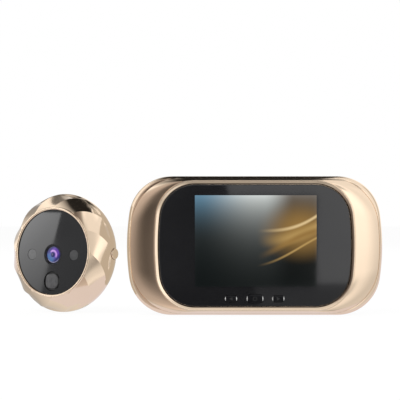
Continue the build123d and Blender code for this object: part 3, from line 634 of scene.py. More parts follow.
@dataclass(frozen=True)
class Finish:
    """Finish of one kind of surface, with its grain and blotches in millimetres."""

    name: str
    first: Colour
    second: Colour
    roughness: Band
    metallic: float = 0.0
    grain: float = 0.4
    relief: float = 0.004
    blotch: float = 14.0
    coat: float = 0.0
    coat_roughness: float = 0.03
    specular: float = 0.5
    stretch: tuple[float, float, float] = (1.0, 1.0, 1.0)

    def build(self) -> Material:
        """Returns the material.

        Returns:
            The material, by the finish's name.
        """
        material = bpy.data.materials.new(self.name)
        material.use_nodes = True
        graph = Graph(material.node_tree)
        shader = material.node_tree.nodes["Principled BSDF"]
        place = graph.node("ShaderNodeTexCoord").outputs["Object"]
        stretched = graph.fill(graph.node("ShaderNodeMapping"), {"Vector": place, "Scale": self.stretch})
        variation = graph.fill(graph.node("ShaderNodeGroup", node_tree=surface_group()), {
            "Place": stretched.outputs[0], "Grain Scale": 1 / (self.grain * MM),
            "Blotch Scale": 1 / (self.blotch * MM), "First Colour": self.first, "Second Colour": self.second,
            "Low Roughness": self.roughness[0], "High Roughness": self.roughness[1],
        })
        bump = graph.fill(graph.node("ShaderNodeBump"), {
            "Distance": self.relief * MM, "Height": variation.outputs["Height"],
        })
        graph.fill(shader, {
            "Metallic": self.metallic, "Coat Weight": self.coat, "Coat Roughness": self.coat_roughness,
            "Specular IOR Level": self.specular, "Roughness": variation.outputs["Roughness"],
            "Normal": bump.outputs["Normal"],
        })
        colour = self.paint(graph, place, variation.outputs["Colour"], shader)
        graph.feed(shader.inputs["Base Color"], colour)
        return material

    def paint(self, graph: Graph, place: Value, colour: Value, shader: Node) -> Value:
        """Returns the base colour. A finish with a pattern adds it here.

        Args:
            graph: Graph of the material.
            place: Place on the object, in metres.
            colour: The colour with its blotches.
            shader: The surface shader, for what else a pattern sets.

        Returns:
            The base colour.
        """
        return colour


@dataclass(frozen=True)
class GlassFront(Finish):
    """Black front glass with the lit picture behind it."""

    picture: Picture = Picture()
    strength: float = 0.92
    behind: Colour = (0.0012, 0.0012, 0.0012)

    def paint(self, graph: Graph, place: Value, colour: Value, shader: Node) -> Value:
        """Adds the lit picture and returns the base colour.

        Args:
            graph: Graph of the material.
            place: Place on the object, in metres.
            colour: The colour with its blotches.
            shader: The surface shader, for what else a pattern sets.

        Returns:
            The base colour.
        """
        view = graph.fill(graph.node("ShaderNodeGroup", node_tree=self.picture.group()), {"Place": place})
        window = view.outputs["Window"]
        lit = graph.mix(window, BLACK, view.outputs["Colour"])
        graph.fill(shader, {"Emission Color": lit, "Emission Strength": self.strength})
        return graph.mix(window, colour, self.behind)


@dataclass(frozen=True)
class KeyGloss(Finish):
    """Glossy key with a faint printed mark and plated ends."""

    symbol: Symbol = Symbol.POWER
    centre_x: float = 0.0
    centre_z: float = 7.95
    half_width: float = 3.95
    mark: Colour = (0.030, 0.030, 0.030)
    plate: Colour = (0.80, 0.80, 0.79)
    plate_band: Band = (-0.50, -0.36)
    ring_radius: float = 0.85
    ring_half: float = 0.13
    opening_half: float = 0.35
    bar_half: float = 0.12
    bar_middle: float = 0.7
    bar_reach: float = 0.4
    tip: float = 0.8
    tip_slope: float = 0.55
    tip_length: float = 1.5

    def paint(self, graph: Graph, place: Value, colour: Value, shader: Node) -> Value:
        """Prints the mark and returns the base colour.

        Args:
            graph: Graph of the material.
            place: Place on the object, in metres.
            colour: The colour with its blotches.
            shader: The surface shader, for what else a pattern sets.

        Returns:
            The base colour.
        """
        x, _, z = graph.split(place)
        side = graph.ratio(x, self.centre_x * MM, MM)
        rise = graph.ratio(z, self.centre_z * MM, MM)
        mark = self.power if self.symbol is Symbol.POWER else self.triangle
        colour = graph.mix(mark(graph, side, rise), colour, self.mark)
        band = [self.half_width + inset for inset in self.plate_band]
        ends = graph.ramp(graph.calc("ABSOLUTE", side), *band)
        graph.feed(shader.inputs["Metallic"], ends)
        return graph.mix(ends, colour, self.plate)

    def power(self, graph: Graph, side: Value, rise: Value) -> Socket:
        """Returns the mask of a ring, open at the top, with a bar.

        Args:
            graph: Graph to add it to.
            side: Millimetres to the right of the key's middle.
            rise: Millimetres above it.

        Returns:
            The mask, 0 or 1.
        """
        band = graph.calc("LESS_THAN", graph.gap(graph.reach(side, rise), self.ring_radius), self.ring_half)
        wide = graph.calc("ABSOLUTE", side)
        opening = graph.both(graph.calc("LESS_THAN", wide, self.opening_half),
                             graph.calc("GREATER_THAN", rise, 0.0))
        band = graph.both(band, graph.calc("SUBTRACT", 1.0, opening))
        bar = graph.both(graph.calc("LESS_THAN", wide, self.bar_half),
                         graph.calc("LESS_THAN", graph.gap(rise, self.bar_middle), self.bar_reach))
        return graph.calc("MAXIMUM", band, bar)

    def triangle(self, graph: Graph, side: Value, rise: Value) -> Socket:
        """Returns the mask of a small triangle that points left or right.

        Args:
            graph: Graph to add it to.
            side: Millimetres to the right of the key's middle.
            rise: Millimetres above it.

        Returns:
            The mask, 0 or 1.
        """
        sign = 1.0 if self.symbol is Symbol.POINTS_LEFT else -1.0
        run = graph.calc("MULTIPLY_ADD", side, sign, self.tip)
        edge = graph.calc("MULTIPLY", run, self.tip_slope)
        inside = graph.calc("LESS_THAN", graph.calc("ABSOLUTE", rise), edge)
        return graph.both(inside, graph.calc("LESS_THAN", run, self.tip_length))


@dataclass(frozen=True)
class CoatedLensWithPaintedHighlights(Finish):
    """Coated lens: a dark pupil inside rings of violet and blue, with a painted magenta highlight crescent
    round the pupil and a painted pale glint low on the rim. Its bands are in millimetres.
    """

    centre: tuple[float, float, float] = (0.0, 0.0, 0.0)
    pupil: Colour = (0.010, 0.010, 0.085)
    violet: Colour = (0.09, 0.03, 0.30)
    cyan: Colour = (0.035, 0.12, 0.30)
    # Colour of the painted highlight crescent round the pupil
    painted_highlight_colour: Colour = (0.46, 0.26, 0.62)
    navy: Colour = (0.016, 0.016, 0.115)
    # Colour of the painted glint near the rim
    glint: Colour = (0.30, 0.30, 0.46)
    violet_band: Band = (-1.8, 1.1)
    navy_band: Band = (0.9, 2.1)
    pupil_band: Band = (0.9, 1.45)
    rim_band: Band = (3.2, 3.75)
    # Place of the painted highlight crescent: its radius, half width and the upper right side it lies on
    highlight_radius: float = 1.9
    highlight_half: float = 0.75
    highlight_side_band: Band = (-0.2, 0.5)
    # Place of the painted glint: its radius, its width and the lower part it lies on
    glint_radius: float = 3.68
    glint_band: Band = (0.05, 0.18)
    below_band: Band = (1.4, 3.0)
    edge_band: Band = (3.78, 3.98)

    def paint(self, graph: Graph, place: Value, colour: Value, shader: Node) -> Value:
        """Paints the rings of the coating and returns the base colour.

        Args:
            graph: Graph of the material.
            place: Place on the object, in metres.
            colour: The colour with its blotches.
            shader: The surface shader, for what else a pattern sets.

        Returns:
            The base colour.
        """
        away, far = graph.from_centre(place, self.centre)
        side, _, rise = graph.split(away)
        lean = graph.calc("DIVIDE", graph.calc("ADD", side, rise), 2 * MM)
        cross = graph.calc("DIVIDE", graph.calc("SUBTRACT", side, rise), 2 * MM)
        rim = graph.mix(graph.ramp(lean, *self.violet_band), self.cyan, self.violet)
        rim = graph.mix(graph.ramp(graph.calc("ABSOLUTE", cross), *self.navy_band), rim, self.navy)
        paint = graph.mix(graph.ramp(far, *self.pupil_band), self.pupil, rim)
        paint = graph.mix(graph.ramp(far, *self.rim_band), paint, self.navy)
        # Painted highlight: a pale magenta crescent round the pupil, on its upper right side
        painted_highlight = graph.both(graph.fall(graph.gap(far, self.highlight_radius), 0.0, self.highlight_half),
                              graph.ramp(lean, *self.highlight_side_band))
        paint = graph.mix(painted_highlight, paint, self.painted_highlight_colour)
        # Painted glint: a pale line near the rim, on the lower part only
        below = graph.ramp(graph.calc("DIVIDE", rise, -MM), *self.below_band)
        edge = graph.fall(graph.gap(far, self.glint_radius), *self.glint_band)
        paint = graph.mix(graph.both(edge, below), paint, self.glint)
        return graph.mix(graph.ramp(far, *self.edge_band), paint, colour)


@dataclass(frozen=True)
class MotionLens(Finish):
    """Frosted pillow in a dark round base."""

    centre: tuple[float, float, float] = (0.0, 0.0, 0.0)
    half: float = 3.5
    base_soft: float = 0.6
    base: Colour = (0.006, 0.006, 0.006)

    def paint(self, graph: Graph, place: Value, colour: Value, shader: Node) -> Value:
        """Darkens the base and returns the base colour."""
        _, far = graph.from_centre(place, self.centre)
        return graph.mix(graph.ramp(far, self.half, self.half + self.base_soft), colour, self.base)


@dataclass(frozen=True)
class BoardLacquer(Finish):
    """Circuit board: lacquer with copper tracks showing through."""

    track: Colour = (0.020, 0.11, 0.055)
    track_band: Band = (0.35, 0.75)
    track_rate: float = 26.0
    pitch: float = 2.2

    def paint(self, graph: Graph, place: Value, colour: Value, shader: Node) -> Value:
        """Adds the tracks and returns the base colour.

        Args:
            graph: Graph of the material.
            place: Place on the object, in metres.
            colour: The colour with its blotches.
            shader: The surface shader, for what else a pattern sets.

        Returns:
            The base colour.
        """
        cells = graph.fill(graph.node("ShaderNodeTexVoronoi", distance="MANHATTAN", feature="F2"),
                           {"Vector": place, "Scale": 1 / (self.pitch * MM)})
        waves = graph.calc("SINE", graph.calc("MULTIPLY", cells.outputs["Distance"], self.track_rate))
        return graph.mix(graph.ramp(waves, *self.track_band), colour, self.track)


@dataclass(frozen=True)
class Palette:
    """The finishes of the door viewer."""

    gold: Finish = Finish("champagne_gold_metal", (0.87, 0.695, 0.525), (0.85, 0.675, 0.505), (0.11, 0.15),
                          metallic=1.0, grain=0.5, relief=0.0002, blotch=30.0)
    gloss: Finish = Finish("black_gloss_acrylic", (0.006, 0.006, 0.007), (0.009, 0.009, 0.010), (0.02, 0.05),
                           grain=6.0, relief=0.0004, blotch=25.0, coat=0.2)
    casing: Finish = Finish("black_moulded_plastic", (0.018, 0.018, 0.019), (0.026, 0.026, 0.027),
                            (0.42, 0.55), grain=0.35, relief=0.02, blotch=18.0)
    inner: Finish = Finish("grey_inner_plastic", (0.10, 0.10, 0.105), (0.14, 0.14, 0.145), (0.5, 0.62),
                           relief=0.01)
    tray: Finish = Finish("white_backlight_tray", (0.62, 0.62, 0.60), (0.70, 0.70, 0.68), (0.45, 0.6),
                          grain=0.5, relief=0.01)
    foam: Finish = Finish("black_foam", (0.02, 0.02, 0.02), (0.045, 0.045, 0.045), (0.8, 0.95),
                          grain=0.25, relief=0.06, blotch=2.0)
    pads: Finish = Finish("grey_foam_tape", (0.30, 0.30, 0.29), (0.38, 0.38, 0.37), (0.75, 0.9),
                          grain=0.3, relief=0.05, blotch=3.0)
    film: Finish = Finish("amber_flex_film", (0.36, 0.15, 0.03), (0.46, 0.21, 0.05), (0.28, 0.4),
                          grain=1.5, blotch=4.0)
    board: Finish = BoardLacquer("green_circuit_board", (0.012, 0.060, 0.032), (0.016, 0.075, 0.040),
                                 (0.25, 0.4), grain=0.8, relief=0.01)
    chip: Finish = Finish("black_chip_resin", (0.022, 0.022, 0.024), (0.034, 0.034, 0.036), (0.5, 0.65),
                          grain=0.15, relief=0.006, blotch=5.0)
    steel: Finish = Finish("brushed_steel", (0.56, 0.56, 0.57), (0.64, 0.64, 0.65), (0.26, 0.38),
                           metallic=1.0, grain=0.5, relief=0.006, blotch=6.0, stretch=(0.08, 1.0, 1.0))
    bright: Finish = Finish("bright_nickel", (0.72, 0.70, 0.67), (0.66, 0.64, 0.61), (0.14, 0.26),
                            metallic=1.0, grain=0.3, relief=0.003, blotch=5.0)
    brass: Finish = Finish("gold_contacts", (0.92, 0.66, 0.26), (0.84, 0.58, 0.21), (0.18, 0.28),
                           metallic=1.0, grain=0.3, relief=0.003, blotch=3.0)
    foil: Finish = Finish("battery_foil", (0.10, 0.20, 0.36), (0.13, 0.25, 0.42), (0.3, 0.42),
                          grain=1.2, relief=0.02, blotch=9.0)
    ring: Finish = Finish("dark_lens_ring", (0.005, 0.005, 0.007), (0.008, 0.008, 0.010), (0.16, 0.24),
                          grain=0.2, relief=0.002, blotch=3.0, specular=0.3)
    lamp: Finish = Finish("infrared_window", (0.044, 0.044, 0.045), (0.056, 0.056, 0.058), (0.03, 0.06),
                          relief=0.002, blotch=1.5)
    rubber: Finish = Finish("black_rubber", (0.018, 0.018, 0.018), (0.030, 0.030, 0.030), (0.6, 0.75),
                            grain=0.3, relief=0.02, blotch=6.0)

    def build(self) -> dict[str, Material]:
        """Returns every material, with those of the two front glasses.

        Returns:
            The materials, by the names of the fields, with screen and front.
        """
        paints = {item.name: getattr(self, item.name).build() for item in fields(self)}
        for name in ("screen", "front"):
            paints[name] = GlassFront(**{**asdict(self.gloss), "name": f"{name}_glass"}).build()
        return paints


# Indoor unit


@dataclass
class IndoorCase:
    """Gold front shell of the indoor unit and the lip round its black front."""

    centre_z: float = 32.65
    band: Outline = Outline(60.1, 32.65, 20.2, 107.0)
    crease: Outline = Outline(58.8, 31.9, 23.5, 107.0)
    panel: Outline = Outline(45.0, 28.5, 16.2, 136.0)
    opening: Outline = Outline(39.5, 27.4, 8.5)
    wall: float = 2.0
    parting: float = 1.5
    parting_bevel: float = 0.15
    band_front: float = -2.5
    crease_depth: float = -5.0
    seat: float = -8.4
    lip_top: float = -10.0
    ledge: float = -7.9
    panel_raise: float = 0.2
    panel_gap: float = 0.1
    lip_width: float = 2.3
    lip_outside: Profile = (
        (0.05, 1.10), (0.16, 0.42), (0.26, 0.16), (0.38, 0.04), (0.55, 0.0), (0.75, 0.02), (1.05, 0.08),
    )
    lip_inside: Profile = ((0.62, 0.24), (0.44, 0.30), (0.27, 0.75), (0.10, 1.00), (0.0, 1.10))
    shoulder_angle: float = 62.0
    shoulder_steps: int = 12
    wing_steps: int = 24
    wing_bow_share: float = 0.39
    crease_dips: Profile = ((0.006, 0.0), (0.009, 0.3), (0.024, 0.3), (0.027, 0.0))
    board_back: float = -2.8
    slot_gap: float = 0.15
    slot_corner_share: float = 0.6
    slots: tuple[tuple[float, float, float], ...] = ((26.0, 7.8, 2.6), (-32.5, 13.0, 1.8))

    def place(self) -> Matrix:
        """Returns the place of the unit's centre."""
        return Matrix.Translation((0, 0, self.centre_z))

    def shell(self) -> Piece:
        """Builds the front shell, inside and outside, with its two slots.

        Returns:
            The shell.
        """
        draft = Draft()
        foot = self.panel.grown(self.lip_width)
        recess = self.panel.grown(self.panel_gap)
        full = radians(self.shoulder_angle)
        rings = [
            draft.outline(self.band.grown(-self.parting_bevel), self.parting),
            draft.outline(self.band, self.parting - self.parting_bevel),
        ]
        for angle in spread(0, full, self.shoulder_steps):
            depth = self.band_front + (self.crease_depth - self.band_front) * sin(angle) / sin(full)
            share = (1 - cos(angle)) / (1 - cos(full))
            rings.append(draft.outline(self.band.toward(self.crease, share), depth))
        wing = [(share, 0.0) for share in spread(0, 1, self.wing_steps)[1:]]
        for share, dip in (*self.crease_dips, *wing):
            rise = share * (1 + self.wing_bow_share * (1 - share))
            depth = self.crease_depth + (self.seat - self.crease_depth) * rise + dip
            rings.append(draft.outline(self.crease.toward(foot, share), depth, z=self.panel_raise * share))
        inside = self.seat + self.wall
        for outline, depth in ((recess, self.seat), (recess, self.ledge), (self.opening, self.ledge),
                               (self.opening, inside)):
            rings.append(draft.outline(outline, depth, z=self.panel_raise))
        for outline, depth in ((foot, inside), (self.crease, self.crease_depth + self.wall),
                               (self.band, self.band_front + self.wall), (self.band, self.parting)):
            rings.append(draft.outline(outline.grown(-self.wall), depth))
        draft.skin(rings, closed=True)
        shell = draft.make("front_shell", self.place())
        for slot in self.slots:
            reshape(shell, self.slot_cutter(*slot), Cut.TAKE_AWAY)
        return shell

    def slot_cutter(self, x: float, width: float, height: float) -> Piece:
        """Builds the tool that cuts one slot through the bottom wall.

        Args:
            x: Middle of the slot.
            width: Width of the socket.
            height: Height of the socket along the depth.

        Returns:
            The closed tool.
        """
        half_height = height / 2 + self.slot_gap
        outline = Outline(width / 2 + self.slot_gap, half_height, half_height * self.slot_corner_share)
        middle = self.board_back + half_height
        draft = Draft()
        bottom = -self.band.half_height
        ends = (bottom - self.wall, bottom + self.wall + self.wall)
        draft.capped([draft.ring((x + px, middle + pz, end) for px, pz in outline.points()) for end in ends])
        return draft.make("slot_tool", self.place())

    def lip(self) -> Piece:
        """Builds the gold lip: a steep outer side and a broad inner bevel that leans to the front.

        Returns:
            The lip.
        """
        draft = Draft()
        sections = [(self.lip_width, self.seat)]
        sections += [(self.lip_width - inset, self.lip_top + fall) for inset, fall in self.lip_outside]
        sections += [(self.panel_gap + inset, self.lip_top + fall) for inset, fall in self.lip_inside]
        sections += [(self.panel_gap, self.seat)]
        rings = [draft.outline(self.panel.grown(offset), depth, z=self.panel_raise)
                 for offset, depth in sections]
        draft.skin(rings, closed=True)
        return draft.make("front_lip", self.place())

    def build(self, gold: Material) -> None:
        """Builds and dresses both pieces."""
        settle(self.shell(), "indoor_unit", "champagne_gold", gold, "front_housing")
        settle(self.lip(), "indoor_unit", "champagne_gold", gold, "bezel_ring")


@dataclass
class IndoorFront:
    """Black front with its three key holes, and the keys."""

    case: IndoorCase
    front: float = -9.5
    back: float = -8.0
    edge: float = 0.22
    edge_steps: int = 4
    key_z: float = -24.7
    key_gap: float = 0.12
    key_round: float = 0.42
    key_crown: float = 0.03
    key_steps: int = 6
    crown_shares: tuple[float, ...] = (0.25, 0.5, 0.75, 0.95)
    overrun: float = 0.5
    stem_radius: float = 1.2
    flange: float = 0.5
    flange_gap: float = 0.1
    keys: tuple[tuple[str, float, float, float, Symbol], ...] = (
        ("button_left", -11.2, 5.8, 3.1, Symbol.POINTS_LEFT),
        ("button_power", 0.0, 7.9, 4.0, Symbol.POWER),
        ("button_right", 10.9, 5.8, 3.1, Symbol.POINTS_RIGHT),
    )

    def pill(self, width: float, height: float) -> Outline:
        """Returns the outline of a key with round ends."""
        return Outline(width / 2, height / 2, height / 2)

    def panel(self) -> Piece:
        """Builds the front, with a polished edge and three holes.

        Returns:
            The front.
        """
        draft = Draft()
        outline = self.case.panel
        sections = [(outline, self.back)]
        sections += [(outline.grown(-inset), self.front + self.edge - rise)
                     for inset, rise in rounding(self.edge, self.edge_steps)]
        sections += [(outline.grown(-self.edge - self.edge), self.front)]
        draft.capped([draft.outline(ring, depth, z=self.case.panel_raise) for ring, depth in sections])
        panel = draft.make("front_glass", self.case.place())
        for _, x, width, height, _ in self.keys:
            tool = Draft()
            hole = self.pill(width, height).grown(self.key_gap)
            tool.capped([tool.outline(hole, depth, x, self.key_z)
                         for depth in (self.front - self.overrun, self.back + self.overrun)])
            reshape(panel, tool.make("hole_tool", self.case.place()), Cut.TAKE_AWAY)
        return panel

    def key(self, node: str, x: float, width: float, height: float) -> Piece:
        """Builds one key: crowned cap, flange behind the front, and stem.

        Args:
            node: Node that it stands for.
            x: Its place across.
            width: Width of the cap.
            height: Height of the cap.

        Returns:
            The key.
        """
        low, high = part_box(node)
        top = low.y / MM
        half_x, _, half_z = (high - low) / MM / 2
        cap = self.pill(width, height)
        flange = Outline(half_x, half_z, half_z)
        stem = Outline(self.stem_radius, self.stem_radius, self.stem_radius)
        flange_front = self.back + self.flange_gap
        flange_back = flange_front + self.flange
        sections = [(stem, high.y / MM), (stem, flange_back), (flange, flange_back), (flange, flange_front),
                    (cap, flange_front)]
        edge = top + self.key_crown + self.key_round
        sections += [(cap.grown(-inset), edge - rise)
                     for inset, rise in rounding(self.key_round, self.key_steps)]
        crown = cap.grown(-self.key_round)
        sections += [(crown.grown(-share * crown.half_height), top + self.key_crown * (1 - share) ** 2)
                     for share in self.crown_shares]
        draft = Draft()
        draft.capped([draft.outline(outline, depth, x, self.key_z) for outline, depth in sections])
        return draft.make(node.replace("button", "key"), self.case.place())

    def build(self, glass: Material) -> None:
        """Builds and dresses the front and its keys.

        Args:
            glass: Material of the front.
        """
        settle(self.panel(), "indoor_unit", "black_gloss", glass, "front_panel")
        for node, x, width, height, symbol in self.keys:
            finish = KeyGloss(f"{node}_gloss", (0.006, 0.006, 0.007), (0.009, 0.009, 0.010), (0.05, 0.09),
                              grain=3.0, relief=0.0008, blotch=6.0, specular=0.08, symbol=symbol,
                              half_width=width / 2, centre_x=x, centre_z=self.case.centre_z + self.key_z)
            settle(self.key(node, x, width, height), node, "black_gloss", finish.build(), node)


# Outdoor unit


@dataclass
class OutdoorFrame:
    """Place of the outdoor unit: turned towards the middle and tipped up a little."""

    yaw: float = -31.3
    tilt: float = -3.6
    ring_front: float = -10.3
    ring_back: float = -9.7

    def place(self, x: float = 0, z: float = 0) -> Matrix:
        """Returns the place of a point of the unit's own frame, found from its lip ring.

        Args:
            x: Place across, from the middle.
            z: Place up, from the middle.

        Returns:
            The place, in millimetres.
        """
        turn = Matrix.Rotation(radians(self.yaw), 4, "Z")
        turn = turn @ Matrix.Rotation(radians(self.tilt), 4, "X")
        low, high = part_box("outdoor_lip_ring")
        middle = (low + high) / 2 / MM
        origin = middle - turn @ Vector((0, (self.ring_front + self.ring_back) / 2, 0))
        return Matrix.Translation(origin) @ turn @ Matrix.Translation((x, 0, z))

    def side_place(self, depth: float) -> Matrix:
        """Returns a place on the axis, whose depth points out of the right flank."""
        return self.place() @ Matrix.Translation((0, depth, 0)) @ Matrix.Rotation(radians(-90), 4, "Z")


@dataclass
class OutdoorDome:
    """Gold dome with twelve swirled petals, and the lip round its black disc."""

    frame: OutdoorFrame
    radius: float = 28.5
    axial: float = 15.3
    wall: float = 2.0
    petal_count: int = 12
    petal_steps: int = 12
    petal_front: float = -9.7
    petal_back: float = -0.5
    petal_dip_share: float = 0.032
    petal_fade: float = 1.7
    petal_twist: float = -27.0
    petal_start: float = -1.0
    dome_back: float = 7.5
    disc_hole: float = 20.4
    ledge: float = -7.7
    face_back: float = -6.2
    plate_hole: float = 22.5
    holes: tuple[tuple[float, float, float], ...] = (
        (0.0, -1.2, 5.3), (12.2, -1.2, 3.2), (-12.2, -1.2, 3.2), (0.0, -13.9, 5.25),
    )
    bell_depth: float = 1.2
    bell_hole: float = 2.75
    bell_room: float = 4.5
    bell_seat: float = 25.2
    bell_inner: float = 20.0
    pillar_reach: float = 17.0
    pillar_angles: tuple[float, ...] = (90.0, 210.0, 330.0)
    pillar_radius: float = 2.3
    pillar_foot: float = 3.2
    pillar_shoulder: float = -1.5
    pillar_back: float = 5.0
    pillar_bore: float = 1.05
    front_steps: int = 36
    back_steps: int = 16
    rod_segments: int = 48
    overrun: float = 0.5
    lip_steps: int = 16
    lip_segments: int = 144
    lip_width: float = 1.35
    lip_power: float = 0.8

    def dome_at(self, depth: float, inner: bool = False) -> float:
        """Returns the radius of the dome at one depth, outside or inside."""
        less = self.wall if inner else 0
        return (self.radius - less) * sqrt(1 - (depth / (self.axial - less)) ** 2)

    def ring(self, radius: float, depth: float, dip: float = 0) -> list[tuple[float, float, float]]:
        """Returns a ring that follows the petals' twist.

        Args:
            radius: Radius at the creases.
            depth: Place along the depth.
            dip: How far each petal dips between its creases, as a share of the radius.

        Returns:
            The points of the ring.
        """
        share = clamp((depth - self.petal_back) / (self.petal_front - self.petal_back))
        start = self.petal_start + self.petal_twist * (1 - share)
        count = self.petal_count * self.petal_steps
        points = []
        for index in range(count):
            local = index % self.petal_steps / self.petal_steps
            angle = radians(start + 360 * index / count)
            reach = radius * (1 - 4 * dip * local * (1 - local))
            points.append((reach * cos(angle), depth, reach * sin(angle)))
        return points

    def rod(self, radius: float, front: float, back: float, x: float, z: float) -> Piece:
        """Builds a round tool along the depth."""
        draft = turned(((radius, front), (radius, back)), self.rod_segments)
        return draft.make("rod_tool", self.frame.place(x, z))

    def side_rod(self, radius: float, inner: float, outer: float) -> Piece:
        """Builds a round tool across, at the doorbell."""
        draft = turned(((radius, inner), (radius, outer)), self.rod_segments)
        return draft.make("side_tool", self.frame.side_place(self.bell_depth))

    def shell(self) -> Piece:
        """Builds the dome, inside and outside, with its holes and pillars.

        Returns:
            The dome.
        """
        draft = Draft()
        rings = [draft.ring(self.ring(self.disc_hole, depth)) for depth in (self.ledge, self.petal_front)]
        depths = spread(self.petal_front, self.petal_back, self.front_steps)
        depths += spread(self.petal_back, self.dome_back, self.back_steps)[1:]
        for depth in depths:
            fade = clamp((self.petal_back - depth) / self.petal_fade)
            dip = self.petal_dip_share * fade * fade * (3 - 2 * fade)
            rings.append(draft.ring(self.ring(self.dome_at(depth), depth, dip)))
        meet = (self.axial - self.wall) * sqrt(1 - (self.plate_hole / (self.radius - self.wall)) ** 2)
        rings.append(draft.ring(self.ring(self.plate_hole, self.dome_back)))
        for depth in spread(meet, self.face_back, self.back_steps):
            rings.append(draft.ring(self.ring(self.dome_at(depth, inner=True), depth)))
        draft.capped(rings)
        shell = draft.make("dome_shell", self.frame.place())
        for x, z, radius in self.holes:
            tool = self.rod(radius, self.ledge - self.overrun, self.face_back + self.overrun, x, z)
            reshape(shell, tool, Cut.TAKE_AWAY)
        front = self.face_back - self.overrun
        for angle in self.pillar_angles:
            x = self.pillar_reach * cos(radians(angle))
            z = self.pillar_reach * sin(radians(angle))
            reshape(shell, self.rod(self.pillar_foot, front, self.pillar_shoulder, x, z), Cut.JOIN)
            reshape(shell, self.rod(self.pillar_radius, front, self.pillar_back, x, z), Cut.JOIN)
            bore = self.rod(self.pillar_bore, 0, self.pillar_back + self.overrun, x, z)
            reshape(shell, bore, Cut.TAKE_AWAY)
        for radius, inner, outer in (
            (self.bell_hole, self.bell_seat - self.overrun, self.radius + self.wall),
            (self.bell_room, self.bell_inner, self.bell_seat),
        ):
            reshape(shell, self.side_rod(radius, inner, outer), Cut.TAKE_AWAY)
        return shell

    def lip(self) -> Piece:
        """Builds the lip ring with a rounded crest.

        Returns:
            The lip ring.
        """
        half = self.lip_width / 2
        middle = self.disc_hole + half
        back = self.frame.ring_back
        height = self.frame.ring_front - back
        profile = []
        for angle in spread(0, pi, self.lip_steps):
            across = copysign(abs(cos(angle)) ** self.lip_power, cos(angle))
            profile.append((middle + half * across, back + height * sin(angle)))
        return turned(profile, self.lip_segments, closed=True).make("dome_lip", self.frame.place())

    def build(self, gold: Material) -> None:
        """Builds and dresses both pieces."""
        settle(self.shell(), "outdoor_unit", "champagne_gold", gold, "outdoor_housing")
        settle(self.lip(), "outdoor_unit", "champagne_gold", gold, "outdoor_lip_ring")


